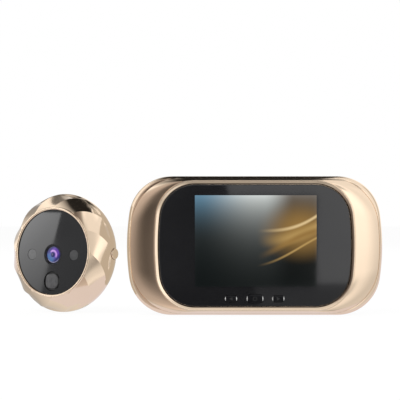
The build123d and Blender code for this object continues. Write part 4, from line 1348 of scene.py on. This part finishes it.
@dataclass
class OutdoorEye:
    """Lens in its ring and barrel, the motion sensor's lens and the two infrared lamps."""

    frame: OutdoorFrame
    disc_front: float = -9.3
    drop: float = 1.2
    segments: int = 96
    ring_radius: float = 4.6
    ring_flange: float = 5.15
    ring_depth: float = 2.2
    ring_proud: float = 0.15
    ring_lift: float = 0.01
    ring_round: float = 0.12
    ring_steps: int = 5
    ring_slope: Profile = ((0.12, 0.42), (0.0, 0.55))
    ring_crest: tuple[float, float] = (0.4, 0.02)
    glass_radius: float = 4.0
    glass_gap: float = 0.1
    glass_edge: float = 0.25
    glass_top: float = 89.5
    glass_steps: int = 16
    crown: float = 0.55
    barrel_radius: float = 3.5
    barrel_bore: float = 2.7
    barrel_length: float = 4.6
    baffles: int = 5
    baffle_depth: float = 0.3
    baffle_share: float = 0.8
    barrel_segments: int = 64
    motion_drop: float = 13.9
    motion_radius: float = 4.55
    motion_front: float = -8.9
    motion_base: float = 2.4
    motion_hollow: float = 3.65
    motion_skin: float = 0.9
    motion_edge: float = 0.12
    pillow: float = 3.5
    pillow_height: float = 1.0
    pillow_power: float = 5.0
    pillow_round: float = 7.0
    pillow_shares: tuple[float, ...] = (
        1.0, 0.995, 0.975, 0.94, 0.89, 0.82, 0.74, 0.65, 0.55, 0.45, 0.35, 0.25, 0.15, 0.06,
    )
    rib_pitch: float = 1.15
    rib_depth: float = 0.1
    rib_power: float = 4.0
    lamp_x: float = 12.2
    lamp_radius: float = 2.56
    lamp_front: float = -9.27
    lamp_back: float = -1.5
    lamp_bevel: float = 0.1
    lamp_rim: float = 0.3
    lamp_segments: int = 64

    def ring(self) -> Piece:
        """Builds the dark ring: a thin flange over the disc, a rounded crest and a sloping inner side.

        Returns:
            The ring.
        """
        front = self.disc_front - self.ring_proud
        back = front + self.ring_depth
        lifted = self.disc_front - self.ring_lift
        inner = self.glass_radius + self.glass_gap
        profile = [(self.ring_radius, back), (self.ring_radius, lifted), (self.ring_flange, lifted)]
        centre = (self.ring_flange - self.ring_round, front + self.ring_round)
        profile += arc(centre, self.ring_round, 0, 90, self.ring_steps)
        profile += [(self.ring_flange - self.ring_crest[0], front + self.ring_crest[1])]
        profile += [(inner + step, front + fall) for step, fall in self.ring_slope]
        profile += [(inner, back)]
        return turned(profile, self.segments, closed=True).make("lens_bezel", self.frame.place(z=-self.drop))

    def glass(self) -> Piece:
        """Builds the domed glass.

        Returns:
            The glass.
        """
        ball = (self.glass_radius ** 2 + self.crown ** 2) / (2 * self.crown)
        edge = degrees(asin(self.glass_radius / ball))
        profile = [(self.glass_radius, self.disc_front + self.crown + self.glass_edge)]
        profile += arc((0, self.disc_front + ball), ball, 90 - edge, self.glass_top, self.glass_steps)
        return turned(profile, self.segments).make("lens_dome", self.frame.place(z=-self.drop))

    def barrel(self) -> Piece:
        """Builds the barrel with stepped baffles in its bore.

        Returns:
            The barrel.
        """
        front = self.disc_front + self.crown + self.glass_edge
        back = front + self.barrel_length
        step = self.barrel_length / self.baffles
        profile = [(self.barrel_radius, front), (self.barrel_radius, back)]
        for index in range(self.baffles):
            depth = back - index * step
            profile += [(self.barrel_bore, depth),
                        (self.barrel_bore + self.baffle_depth, depth - step * self.baffle_share)]
        profile += [(self.barrel_bore, front)]
        tube = turned(profile, self.barrel_segments, closed=True)
        return tube.make("lens_tube", self.frame.place(z=-self.drop))

    def motion(self) -> Piece:
        """Builds the motion lens: a round base and a soft square pillow with ribs.

        Returns:
            The motion lens.
        """
        draft = Draft()
        front = self.motion_front
        back = front + self.motion_base
        rings = [draft.circle(radius, depth, self.segments) for radius, depth in (
            (self.motion_hollow, front + self.motion_skin), (self.motion_hollow, back),
            (self.motion_radius, back), (self.motion_radius, front + self.motion_edge),
            (self.motion_radius - self.motion_edge, front),
        )]
        power = self.pillow_power
        for share in self.pillow_shares:
            points = []
            rise = self.pillow_height * (1 - share ** self.pillow_round) ** 0.5
            for angle in spread(0, 2 * pi, self.segments)[:-1]:
                squared = (abs(cos(angle)) ** power + abs(sin(angle)) ** power) ** (-1 / power)
                reach = self.pillow * share * squared
                x = reach * cos(angle)
                comb = 0.5 - 0.5 * cos(2 * pi * x / self.rib_pitch)
                rib = self.rib_depth * (1 - share ** self.rib_power) * comb
                points.append((x, front - rise + rib, reach * sin(angle)))
            rings.append(draft.ring(points))
        draft.capped(rings)
        return draft.make("motion_pillow", self.frame.place(z=-self.motion_drop))

    def lamps(self) -> Piece:
        """Builds the two infrared lamps, each with a flat window and a body down to the board.

        Returns:
            Both lamps, as one piece.
        """
        draft = Draft()
        for side in (-self.lamp_x, self.lamp_x):
            draft.capped([draft.circle(radius, depth, self.lamp_segments, side) for radius, depth in (
                (self.lamp_radius, self.lamp_back), (self.lamp_radius, self.lamp_front + self.lamp_bevel),
                (self.lamp_radius - self.lamp_bevel, self.lamp_front),
                (self.lamp_radius - self.lamp_rim, self.lamp_front),
            )])
        return draft.make("lamp_windows", self.frame.place(z=-self.drop))

    def build(self, paints: dict[str, Material]) -> None:
        """Builds and dresses the pieces of the eye.

        Args:
            paints: The materials by name.
        """
        centre = self.frame.place(z=-self.drop) @ Vector((0, self.disc_front, 0)) * MM
        # The lens finish holds the coating's rings plus a painted highlight crescent and a painted glint
        coating_with_highlights = CoatedLensWithPaintedHighlights("lens_coating_painted_highlights", (0.012, 0.012, 0.016), (0.02, 0.02, 0.026), (0.02, 0.04),
                              grain=4.0, relief=0.0002, coat=0.3, centre=tuple(centre))
        settle(self.ring(), "outdoor_unit", "black_gloss", paints["ring"], "lens_ring")
        settle(self.glass(), "outdoor_unit", "lens", coating_with_highlights.build(), "lens_glass")
        settle(self.barrel(), "outdoor_unit", "inner_plastic", paints["casing"], "lens_barrel")
        top = Vector((0, self.motion_front - self.pillow_height, 0))
        pillow = self.frame.place(z=-self.motion_drop) @ top * MM
        frosted = MotionLens("motion_lens_plastic", (0.050, 0.050, 0.052), (0.078, 0.078, 0.080), (0.35, 0.5),
                             grain=0.3, relief=0.012, blotch=1.6, centre=tuple(pillow), half=self.pillow)
        settle(self.motion(), "outdoor_unit", "motion_lens", frosted.build(), "pir_lens")
        settle(self.lamps(), "outdoor_unit", "lamp_window", paints["lamp"], "ir_leds")


@dataclass
class DoorbellKey:
    """Round doorbell button on the dome's flank."""

    frame: OutdoorFrame
    depth: float = 1.2
    radius: float = 2.6
    reach: float = 29.3
    flange_radius: float = 4.1
    flange_outer: float = 25.0
    flange_inner: float = 24.2
    stem_radius: float = 1.2
    stem_end: float = 23.4
    edge: float = 0.6
    edge_steps: int = 6
    crown: float = 0.16
    crown_shares: tuple[float, ...] = (0.75, 0.5, 0.25, 0.05)
    segments: int = 64

    def build(self, gold: Material) -> None:
        """Builds and dresses the button.

        Args:
            gold: Its material.
        """
        profile = [(self.stem_radius, self.stem_end), (self.stem_radius, self.flange_inner),
                   (self.flange_radius, self.flange_inner), (self.flange_radius, self.flange_outer),
                   (self.radius, self.flange_outer)]
        shoulder = self.reach - self.crown - self.edge
        profile += [(self.radius - inset, shoulder + rise)
                    for inset, rise in rounding(self.edge, self.edge_steps)]
        profile += [((self.radius - self.edge) * share, self.reach - self.crown * share ** 2)
                    for share in self.crown_shares]
        button = turned(profile, self.segments).make("bell_cap", self.frame.side_place(self.depth))
        settle(button, "doorbell_button", "champagne_gold", gold, "doorbell_button")


@dataclass
class DoorTube:
    """Threaded tube through the door."""

    frame: OutdoorFrame
    radius: float = 6.0
    bore: float = 4.6
    collar: float = 7.0
    flange: float = 9.0
    flange_front: float = 3.4
    flange_back: float = 5.0
    collar_back: float = 8.5
    thread_start: float = 8.9
    thread_depth: float = 0.4
    thread_floor: float = 2.0
    thread_slope: float = 6.0
    pitch: float = 1.0
    end: float = 33.0
    chamfer: float = 0.4
    segments: int = 64
    steps_per_turn: int = 8

    def thread_cut(self, depth: float, angle: float) -> float:
        """Returns how deep the thread is cut at a place.

        Args:
            depth: Place along the depth.
            angle: Angle round the tube, in radians.

        Returns:
            The depth of the cut, in millimetres.
        """
        turns = (depth - self.thread_start) / self.pitch
        phase = (turns - angle / (2 * pi)) % 1
        cut = clamp(self.thread_floor - abs(phase - 0.5) * self.thread_slope)
        return self.thread_depth * cut * min(turns, 1)

    def build(self, metal: Material) -> None:
        """Builds and dresses the tube, with a helical thread.

        Args:
            metal: Its material.
        """
        draft = Draft()
        rings = [draft.circle(radius, depth, self.segments) for radius, depth in (
            (self.bore, self.flange_front), (self.flange, self.flange_front), (self.flange, self.flange_back),
            (self.collar, self.flange_back), (self.collar, self.collar_back), (self.radius, self.collar_back),
        )]
        length = self.end - self.chamfer - self.thread_start
        count = int(length / self.pitch * self.steps_per_turn)
        for depth in spread(self.thread_start, self.thread_start + length, count):
            points = []
            for angle in spread(0, 2 * pi, self.segments)[:-1]:
                radius = self.radius - self.thread_cut(depth, angle)
                points.append((radius * cos(angle), depth, radius * sin(angle)))
            rings.append(draft.ring(points))
        tip = self.radius - self.chamfer
        rings += [draft.circle(radius, self.end, self.segments) for radius in (tip, self.bore)]
        draft.skin(rings, closed=True)
        tube = draft.make("door_tube", self.frame.place())
        settle(tube, "outdoor_unit", "bright_metal", metal, "threaded_tube")


@dataclass
class CarriedNodes:
    """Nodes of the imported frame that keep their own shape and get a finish."""

    finishes: tuple[tuple[str, str], ...] = (
        ("casing", "rear_cover battery_door lens_holder speaker back_plate"),
        ("gloss", "outdoor_panel"),
        ("foam", "lcd_foam_frame speaker_gasket panel_adhesive disc_adhesive"),
        ("pads", "adhesive_pads"),
        ("tray", "lcd_backlight"),
        ("film", "lcd_flex"),
        ("board", "main_board camera_board"),
        ("chip", "board_chips key_switches doorbell_switch image_sensor"),
        ("inner", "button_guide ribbon_socket camera_ribbon_socket"),
        ("steel", "mounting_bracket usb_socket card_socket pir_sensor nut_clip"),
        ("bright", "board_screws rear_screws back_plate_screws bracket_studs bracket_nut"),
        ("brass", "battery_contacts"),
        ("foil", "battery_pack"),
        ("rubber", "door_gasket"),
        ("screen", "lcd_glass"),
    )

    def build(self, paints: dict[str, Material]) -> None:
        """Gives each node its finish.

        Args:
            paints: The materials by name.
        """
        for finish, names in self.finishes:
            for name in names.split():
                mesh = frame["nodes"][name].data
                mesh.materials.clear()
                mesh.materials.append(paints[finish])
                LOG.info("%s keeps its own shape in %s", name, paints[finish].name)


# Studio


# Degrees: how soft a hard edge is, and a side that lies past every direction
HARD = 0.001
OPEN = 999.0


@dataclass(frozen=True)
class Zone:
    """Part of the tent with a level of its own, whose sides are in degrees and fade in over softs."""

    left: float
    right: float
    low: float
    high: float
    level: float
    softs: tuple[float, float, float, float]
    blend: Blend = Blend.SET

    def change(self, level: float, azimuth: float, elevation: float) -> float:
        """Returns a level as the zone changes it in one direction.

        Args:
            level: The level before.
            azimuth: Degrees from the front, positive to the right.
            elevation: Degrees above the ground.

        Returns:
            The level with the zone.
        """
        share = 1.0
        rooms = (azimuth - self.left, self.right - azimuth, elevation - self.low, self.high - elevation)
        for room, soft in zip(rooms, self.softs):
            share *= clamp(room / soft)
        goal = self.level
        if self.blend is Blend.AT_LEAST:
            goal = max(self.level, level)
        elif self.blend is Blend.TIMES:
            goal = self.level * level
        return level + (goal - level) * share


@dataclass
class Tent:
    """Soft studio tent that only reflections see: bright walls, a brown flag and dark panels."""

    radius: float = 1.7
    columns: int = 240
    rows: int = 120
    top: float = 89.0
    stops: tuple[tuple[float, float], ...] = (
        (-180.0, 1.05), (-120.0, 1.08), (-108.0, 0.88), (-84.0, 0.88), (-74.0, 1.10), (-66.0, 1.15),
        (-61.0, 0.62), (-48.0, 0.52), (-46.0, 0.46), (-43.0, 0.34), (-40.0, 0.20), (-36.5, 0.14),
        (-33.0, 0.11), (-28.5, 0.12), (-24.0, 0.17), (-20.0, 0.21), (-14.0, 0.30), (-9.0, 1.10),
        (12.0, 1.25), (38.0, 1.25), (44.0, 1.05), (50.0, 0.85), (60.0, 0.95), (72.0, 0.90),
        (80.0, 0.60), (104.0, 0.55), (114.0, 1.00), (180.0, 1.05),
    )
    flag: tuple[float, float] = (-61.0, -14.0)
    flag_tint: Colour = (1.0, 0.90, 0.86)
    rise_gain: float = 0.014
    rise_most: float = 0.16
    fall_gain: float = 0.016
    fall_most: float = 0.30
    fall_right: float = 0.16
    fall_start: float = 20.0
    fall_soft: float = 12.0
    zones: tuple[Zone, ...] = (
        Zone(*flag, -OPEN, -4.0, 0.55, (HARD, HARD, HARD, 30.0), Blend.AT_LEAST),
        Zone(*flag, -OPEN, -38.0, 0.85, (HARD, HARD, HARD, 20.0)),
        Zone(-40.0, flag[1], 0.0, 16.0, 0.70, (4.0, HARD, 4.0, 4.0), Blend.TIMES),
        Zone(flag[1], 25.0, 9.0, 46.0, 0.80, (HARD, 8.0, 8.0, 8.0)),
        Zone(-14.0, 14.0, -44.0, -9.0, 0.40, (10.0, 10.0, 10.0, 10.0)),
        Zone(-OPEN, OPEN, 50.0, OPEN, 0.45, (HARD, HARD, 14.0, HARD)),
        Zone(-OPEN, OPEN, 64.0, OPEN, 0.02, (HARD, HARD, 7.0, HARD)),
        Zone(-5.0, 125.0, 46.0, 83.0, 1.0, (6.0, 6.0, 6.0, 6.0)),
        Zone(16.0, 42.0, 28.0, 46.0, 0.60, (4.0, 4.0, 4.0, 4.0)),
        Zone(18.0, 33.0, -20.0, -6.0, 0.60, (3.0, 3.0, 3.0, 3.0)),
        Zone(-172.0, -136.0, -3.0, 22.0, 0.62, (8.0, 8.0, 3.0, 8.0)),
    )
    back_wide: float = 142.0
    back_narrow: float = 162.0
    back_high: float = 56.0
    back_low: float = 17.0
    back_edge: float = 12.0
    back_soft: float = 4.0
    back_level: float = 0.02

    def level(self, azimuth: float, elevation: float) -> Colour:
        """Returns the light of the tent in one direction.

        Args:
            azimuth: Degrees from the front, positive to the right.
            elevation: Degrees above the ground.

        Returns:
            Its red, green and blue, where 1 is white.
        """
        level = self.stops[-1][1]
        for (low, first), (high, second) in zip(self.stops, self.stops[1:]):
            if low <= azimuth <= high:
                level = first + (second - first) * (azimuth - low) / (high - low)
                break
        level *= 1 + min(max(elevation * self.rise_gain, 0), self.rise_most)
        right = clamp((azimuth - self.fall_start) / self.fall_soft)
        most = self.fall_most + (self.fall_right - self.fall_most) * right
        level *= 1 - min(max(-elevation * self.fall_gain, 0), most)
        for zone in self.zones:
            level = zone.change(level, azimuth, elevation)
        start = self.back_wide
        if azimuth > 0:
            start += (self.back_narrow - start) * clamp((self.back_high - elevation) / self.back_soft)
        behind = clamp((abs(azimuth) - start) / self.back_edge)
        above = clamp((elevation - self.back_low) / self.back_soft)
        level += (self.back_level - level) * behind * above
        tint = self.flag_tint if self.flag[0] < azimuth < self.flag[1] else WHITE
        return tuple(level * part for part in tint)

    def build(self) -> None:
        """Builds the tent."""
        draft = Draft()
        levels = []
        rings = []
        for elevation in spread(-self.top, self.top, self.rows):
            rise = radians(elevation)
            points = []
            for azimuth in spread(-180.0, 180.0, self.columns)[:-1]:
                turn = radians(azimuth)
                flat = cos(rise)
                way = Vector((flat * sin(turn), -flat * cos(turn), sin(rise)))
                points.append(way * self.radius / MM)
                levels.append(self.level(azimuth, elevation))
            rings.append(draft.ring(points))
        draft.capped(rings)
        lit_stage(draft.make("studio_tent"), levels)


def bare_tree(owner: Union[Material, bpy.types.World]) -> Graph:
    """Returns the emptied node tree of a material or a world.

    Args:
        owner: The material or the world.

    Returns:
        A graph on its tree.
    """
    owner.use_nodes = True
    owner.node_tree.nodes.clear()
    return Graph(owner.node_tree)


def lit_stage(piece: Piece, levels: Sequence[Light]) -> None:
    """Lights a stage piece, point by point, for reflections only.

    Args:
        piece: The stage piece.
        levels: Brightness or colour of each point.
    """
    attribute = piece.data.color_attributes.new("level", "FLOAT_COLOR", "POINT")
    for item, level in zip(attribute.data, levels):
        parts = level if isinstance(level, tuple) else (level, level, level)
        item.color = (*parts, 1)
    material = bpy.data.materials.new(f"{piece.name}_light")
    graph = bare_tree(material)
    colour = graph.node("ShaderNodeVertexColor", layer_name="level").outputs["Color"]
    light = graph.fill(graph.node("ShaderNodeEmission"), {"Color": colour})
    graph.fill(graph.node("ShaderNodeOutputMaterial"), {"Surface": light.outputs[0]})
    material.cycles.emission_sampling = "NONE"
    piece.data.materials.append(material)
    for ray in ("camera", "diffuse", "transmission", "volume_scatter", "shadow"):
        setattr(piece, f"visible_{ray}", False)


@dataclass(frozen=True)
class Card:
    """Flat card that only reflections see, with its corners in millimetres and their brightness."""

    name: str
    corners: Sequence[Sequence[float]]
    levels: Sequence[Light]

    def build(self) -> None:
        """Builds the card."""
        draft = Draft()
        draft.cap(draft.ring(self.corners))
        lit_stage(draft.make(self.name), self.levels)


def square_to(axis: Axis, place: float, *pairs: tuple[float, float]) -> list[tuple[float, ...]]:
    """Returns corners that lie at one place along an axis."""
    cut = axis.value
    return [(*pair[:cut], place, *pair[cut:]) for pair in pairs]


def rectangle(axis: Axis, place: float, sides: tuple[float, float, float, float]) -> list[tuple[float, ...]]:
    """Returns the corners of a rectangle at one place along an axis.

    Args:
        axis: The axis.
        place: Place along it.
        sides: Its two ends along each of the other axes, in order.

    Returns:
        The four corners.
    """
    left, right, low, high = sides
    return square_to(axis, place, (left, low), (right, low), (right, high), (left, high))


# The spot that the outdoor disc mirrors to the camera, and the way across it
DISC_VIEW = Vector((-555.0, -182.0, 66.0))
DISC_ACROSS = Vector((-0.748, 0.664, 0.0))


def before_disc(shift: Sequence[float], *pairs: tuple[float, float]) -> list[Vector]:
    """Returns corners that face the outdoor disc, given across and up from the spot that it mirrors."""
    middle = DISC_VIEW + Vector(shift)
    return [middle + DISC_ACROSS * across + Vector((0.0, 0.0, up)) for across, up in pairs]


@dataclass
class Studio:
    """Floor, tent, cards, lamps, world and camera."""

    floor_front: float = -0.6
    floor_seam: float = -0.007
    floor_back: float = 3.0
    floor_half: float = 3.0
    floor_drop: float = -0.02
    floor_colour: Colour = (0.94, 0.94, 0.94)
    floor_glow: float = 0.95
    floor_mirrored: Colour = (0.84, 0.82, 0.90)
    world_soft: float = 0.55
    camera_place: tuple[float, float, float] = (-0.0257, -0.9, 0.0541)
    lens: float = 171.5
    sensor: float = 36.0
    clip_start: float = 0.01
    cards: tuple[Card, ...] = (
        Card("dark_card", rectangle(Axis.DEPTH, -1410.0, (-150, 230, -300, 200)), (0.10,) * 4),
        Card("bright_card", square_to(Axis.DEPTH, -1400.0, (-15, 150), (400, 150), (400, -46.3), (38, -46.3),
                                      (5.8, 73.6)), (1.3, 1.5, 1.5, 1.3, 1.3)),
        Card("low_card", square_to(Axis.DEPTH, -1400.0, (38, -46.3), (400, -46.3), (400, -200), (80, -200)),
             (0.35,) * 4),
        Card("screen_card", rectangle(Axis.DEPTH, -1390.0, (-31.5, 113.5, -49.5, 59.2)), (0.02,) * 4),
        Card("between_card", square_to(Axis.ACROSS, -61.3, (-5.5, 6.0), (62.0, 6.0), (62.0, 95.0),
                                       (6.0, 75.0), (0.0, 53.5), (-5.5, 52.0)), ((0.60, 0.57, 0.52),) * 6),
        Card("near_shade", rectangle(Axis.HEIGHT, 0.2, (-130, -78, 12, 28)), (0.85, 0.85, 0.50, 0.50)),
        Card("far_shade", rectangle(Axis.HEIGHT, 0.2, (-300, -78, 28, 250)), (0.50, 0.50, 0.45, 0.75)),
        Card("disc_card", before_disc((0, 0, 0), (-4.0, 30.0), (42.0, 30.0), (42.0, -30.0), (7.5, -30.0)),
             (3.3, 5.4, 2.4, 1.6)),
        Card("disc_shade", before_disc((-8.0, -3.0, 0.0), (-60, 60), (60, 60), (60, -60), (-60, -60)),
             (0.6, 0.6, 0.4, 0.4)),
    )
    dome_depth: float = 105.0
    dome_heights: tuple[float, float] = (62.0, 185.0)
    dome_top_level: float = 0.12
    dome_stops: tuple[tuple[float, float], ...] = (
        (-230.0, 1.0), (-196.0, 0.75), (-172.0, 0.42), (-134.0, 0.34), (-112.0, 0.9), (-90.0, 1.25),
        (-44.0, 1.25),
    )
    lamp_target: tuple[float, float, float] = (-0.03, 0.0, 0.03)
    lamps: tuple[tuple[str, tuple[float, float, float], float, float], ...] = (
        ("key_lamp", (-0.5, -0.7, 0.9), 0.7, 9.0),
        ("fill_lamp", (0.7, -0.5, 0.6), 0.8, 4.0),
        ("back_lamp", (0.1, 0.9, 0.8), 0.8, 5.0),
    )

    def dome_cards(self) -> None:
        """Builds a row of cards over and behind the dome, from one stop of light to the next."""
        stops = zip(self.dome_stops, self.dome_stops[1:])
        for number, ((left, first), (right, second)) in enumerate(stops, 1):
            corners = rectangle(Axis.DEPTH, self.dome_depth, (left, right, *self.dome_heights))
            levels = (first, second, self.dome_top_level, self.dome_top_level)
            Card(f"dome_card_{number}", corners, levels).build()

    def floor(self) -> None:
        """Builds the pale floor in two sheets, of which only the back one shows in mirrors."""
        paper = self.floor_paper()
        for name, front, back in (("floor_back", self.floor_seam, self.floor_back),
                                  ("floor_front", self.floor_front, self.floor_seam)):
            draft = Draft()
            sides = [side / MM for side in (-self.floor_half, self.floor_half, front, back)]
            draft.cap(draft.ring(rectangle(Axis.HEIGHT, self.floor_drop, sides)))
            sheet = draft.make(name)
            sheet.data.materials.append(paper)
            sheet.visible_glossy = back > self.floor_seam

    def seen(self, graph: Graph) -> tuple[Socket, Socket]:
        """Returns 1 for a camera, mirror or glass ray, and 1 for a mirror ray.

        Args:
            graph: Graph to add the light path to.

        Returns:
            The two masks.
        """
        rays = graph.node("ShaderNodeLightPath").outputs
        seen = graph.calc("MAXIMUM", rays["Is Camera Ray"], rays["Is Glossy Ray"])
        return graph.calc("MAXIMUM", seen, rays["Is Transmission Ray"]), rays["Is Glossy Ray"]

    def floor_paper(self) -> Material:
        """Returns the floor's material: pale paper that the camera and mirrors see nearly white.

        Returns:
            The material.
        """
        material = bpy.data.materials.new("floor_paper")
        graph = bare_tree(material)
        seen, mirrored = self.seen(graph)
        paper = graph.fill(graph.node("ShaderNodeBsdfDiffuse"), {"Color": self.floor_colour})
        colour = graph.mix(mirrored, WHITE, self.floor_mirrored)
        glow = graph.fill(graph.node("ShaderNodeEmission"), {"Color": colour})
        blend = graph.node("ShaderNodeMixShader")
        share = graph.calc("MULTIPLY", seen, self.floor_glow)
        for socket, value in zip(blend.inputs, (share, paper.outputs[0], glow.outputs[0])):
            graph.feed(socket, value)
        graph.fill(graph.node("ShaderNodeOutputMaterial"), {"Surface": blend.outputs[0]})
        material.cycles.emission_sampling = "NONE"
        return material

    def world(self) -> None:
        """Sets a white surround, softer as light on the object."""
        world = bpy.data.worlds.new("white_room")
        bpy.context.scene.world = world
        graph = bare_tree(world)
        seen, _ = self.seen(graph)
        strength = graph.calc("MULTIPLY_ADD", seen, 1 - self.world_soft, self.world_soft)
        sky = graph.fill(graph.node("ShaderNodeBackground"), {"Color": WHITE, "Strength": strength})
        graph.fill(graph.node("ShaderNodeOutputWorld"), {"Surface": sky.outputs[0]})

    def lamp(self, name: str, place: Sequence[float], size: float, power: float) -> None:
        """Adds a soft square lamp that points at the object.

        Args:
            name: Name of the lamp.
            place: Where it hangs, in metres.
            size: Width of its face.
            power: Power in watts.
        """
        data = bpy.data.lights.new(name, "AREA")
        data.size = size
        data.energy = power
        lamp = bpy.data.objects.new(name, data)
        lamp.location = place
        lamp.rotation_euler = (Vector(self.lamp_target) - Vector(place)).to_track_quat("-Z", "Y").to_euler()
        lamp.visible_glossy = False
        bpy.context.scene.collection.objects.link(lamp)

    def camera(self) -> None:
        """Sets the camera at the height of the screen, looking straight ahead."""
        data = bpy.data.cameras.new("front_camera")
        data.lens = self.lens
        data.sensor_width = self.sensor
        data.clip_start = self.clip_start
        camera = bpy.data.objects.new("front_camera", data)
        camera.location = self.camera_place
        camera.rotation_euler = (radians(90), 0, 0)
        bpy.context.scene.collection.objects.link(camera)
        bpy.context.scene.camera = camera

    def build(self) -> None:
        """Builds the whole studio."""
        self.camera()
        self.floor()
        self.world()
        Tent().build()
        for card in self.cards:
            card.build()
        self.dome_cards()
        for lamp in self.lamps:
            self.lamp(*lamp)
        bpy.context.scene.view_settings.view_transform = "Standard"


def main() -> None:
    """Builds the studio and every sub-assembly."""
    logging.basicConfig(level=logging.INFO, format="%(message)s")
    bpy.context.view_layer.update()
    Studio().build()
    paints = Palette().build()
    CarriedNodes().build(paints)
    case = IndoorCase()
    case.build(paints["gold"])
    IndoorFront(case).build(paints["front"])
    place = OutdoorFrame()
    OutdoorDome(place).build(paints["gold"])
    OutdoorEye(place).build(paints)
    DoorbellKey(place).build(paints["gold"])
    DoorTube(place).build(paints["bright"])


if __name__ == "__main__":
    main()
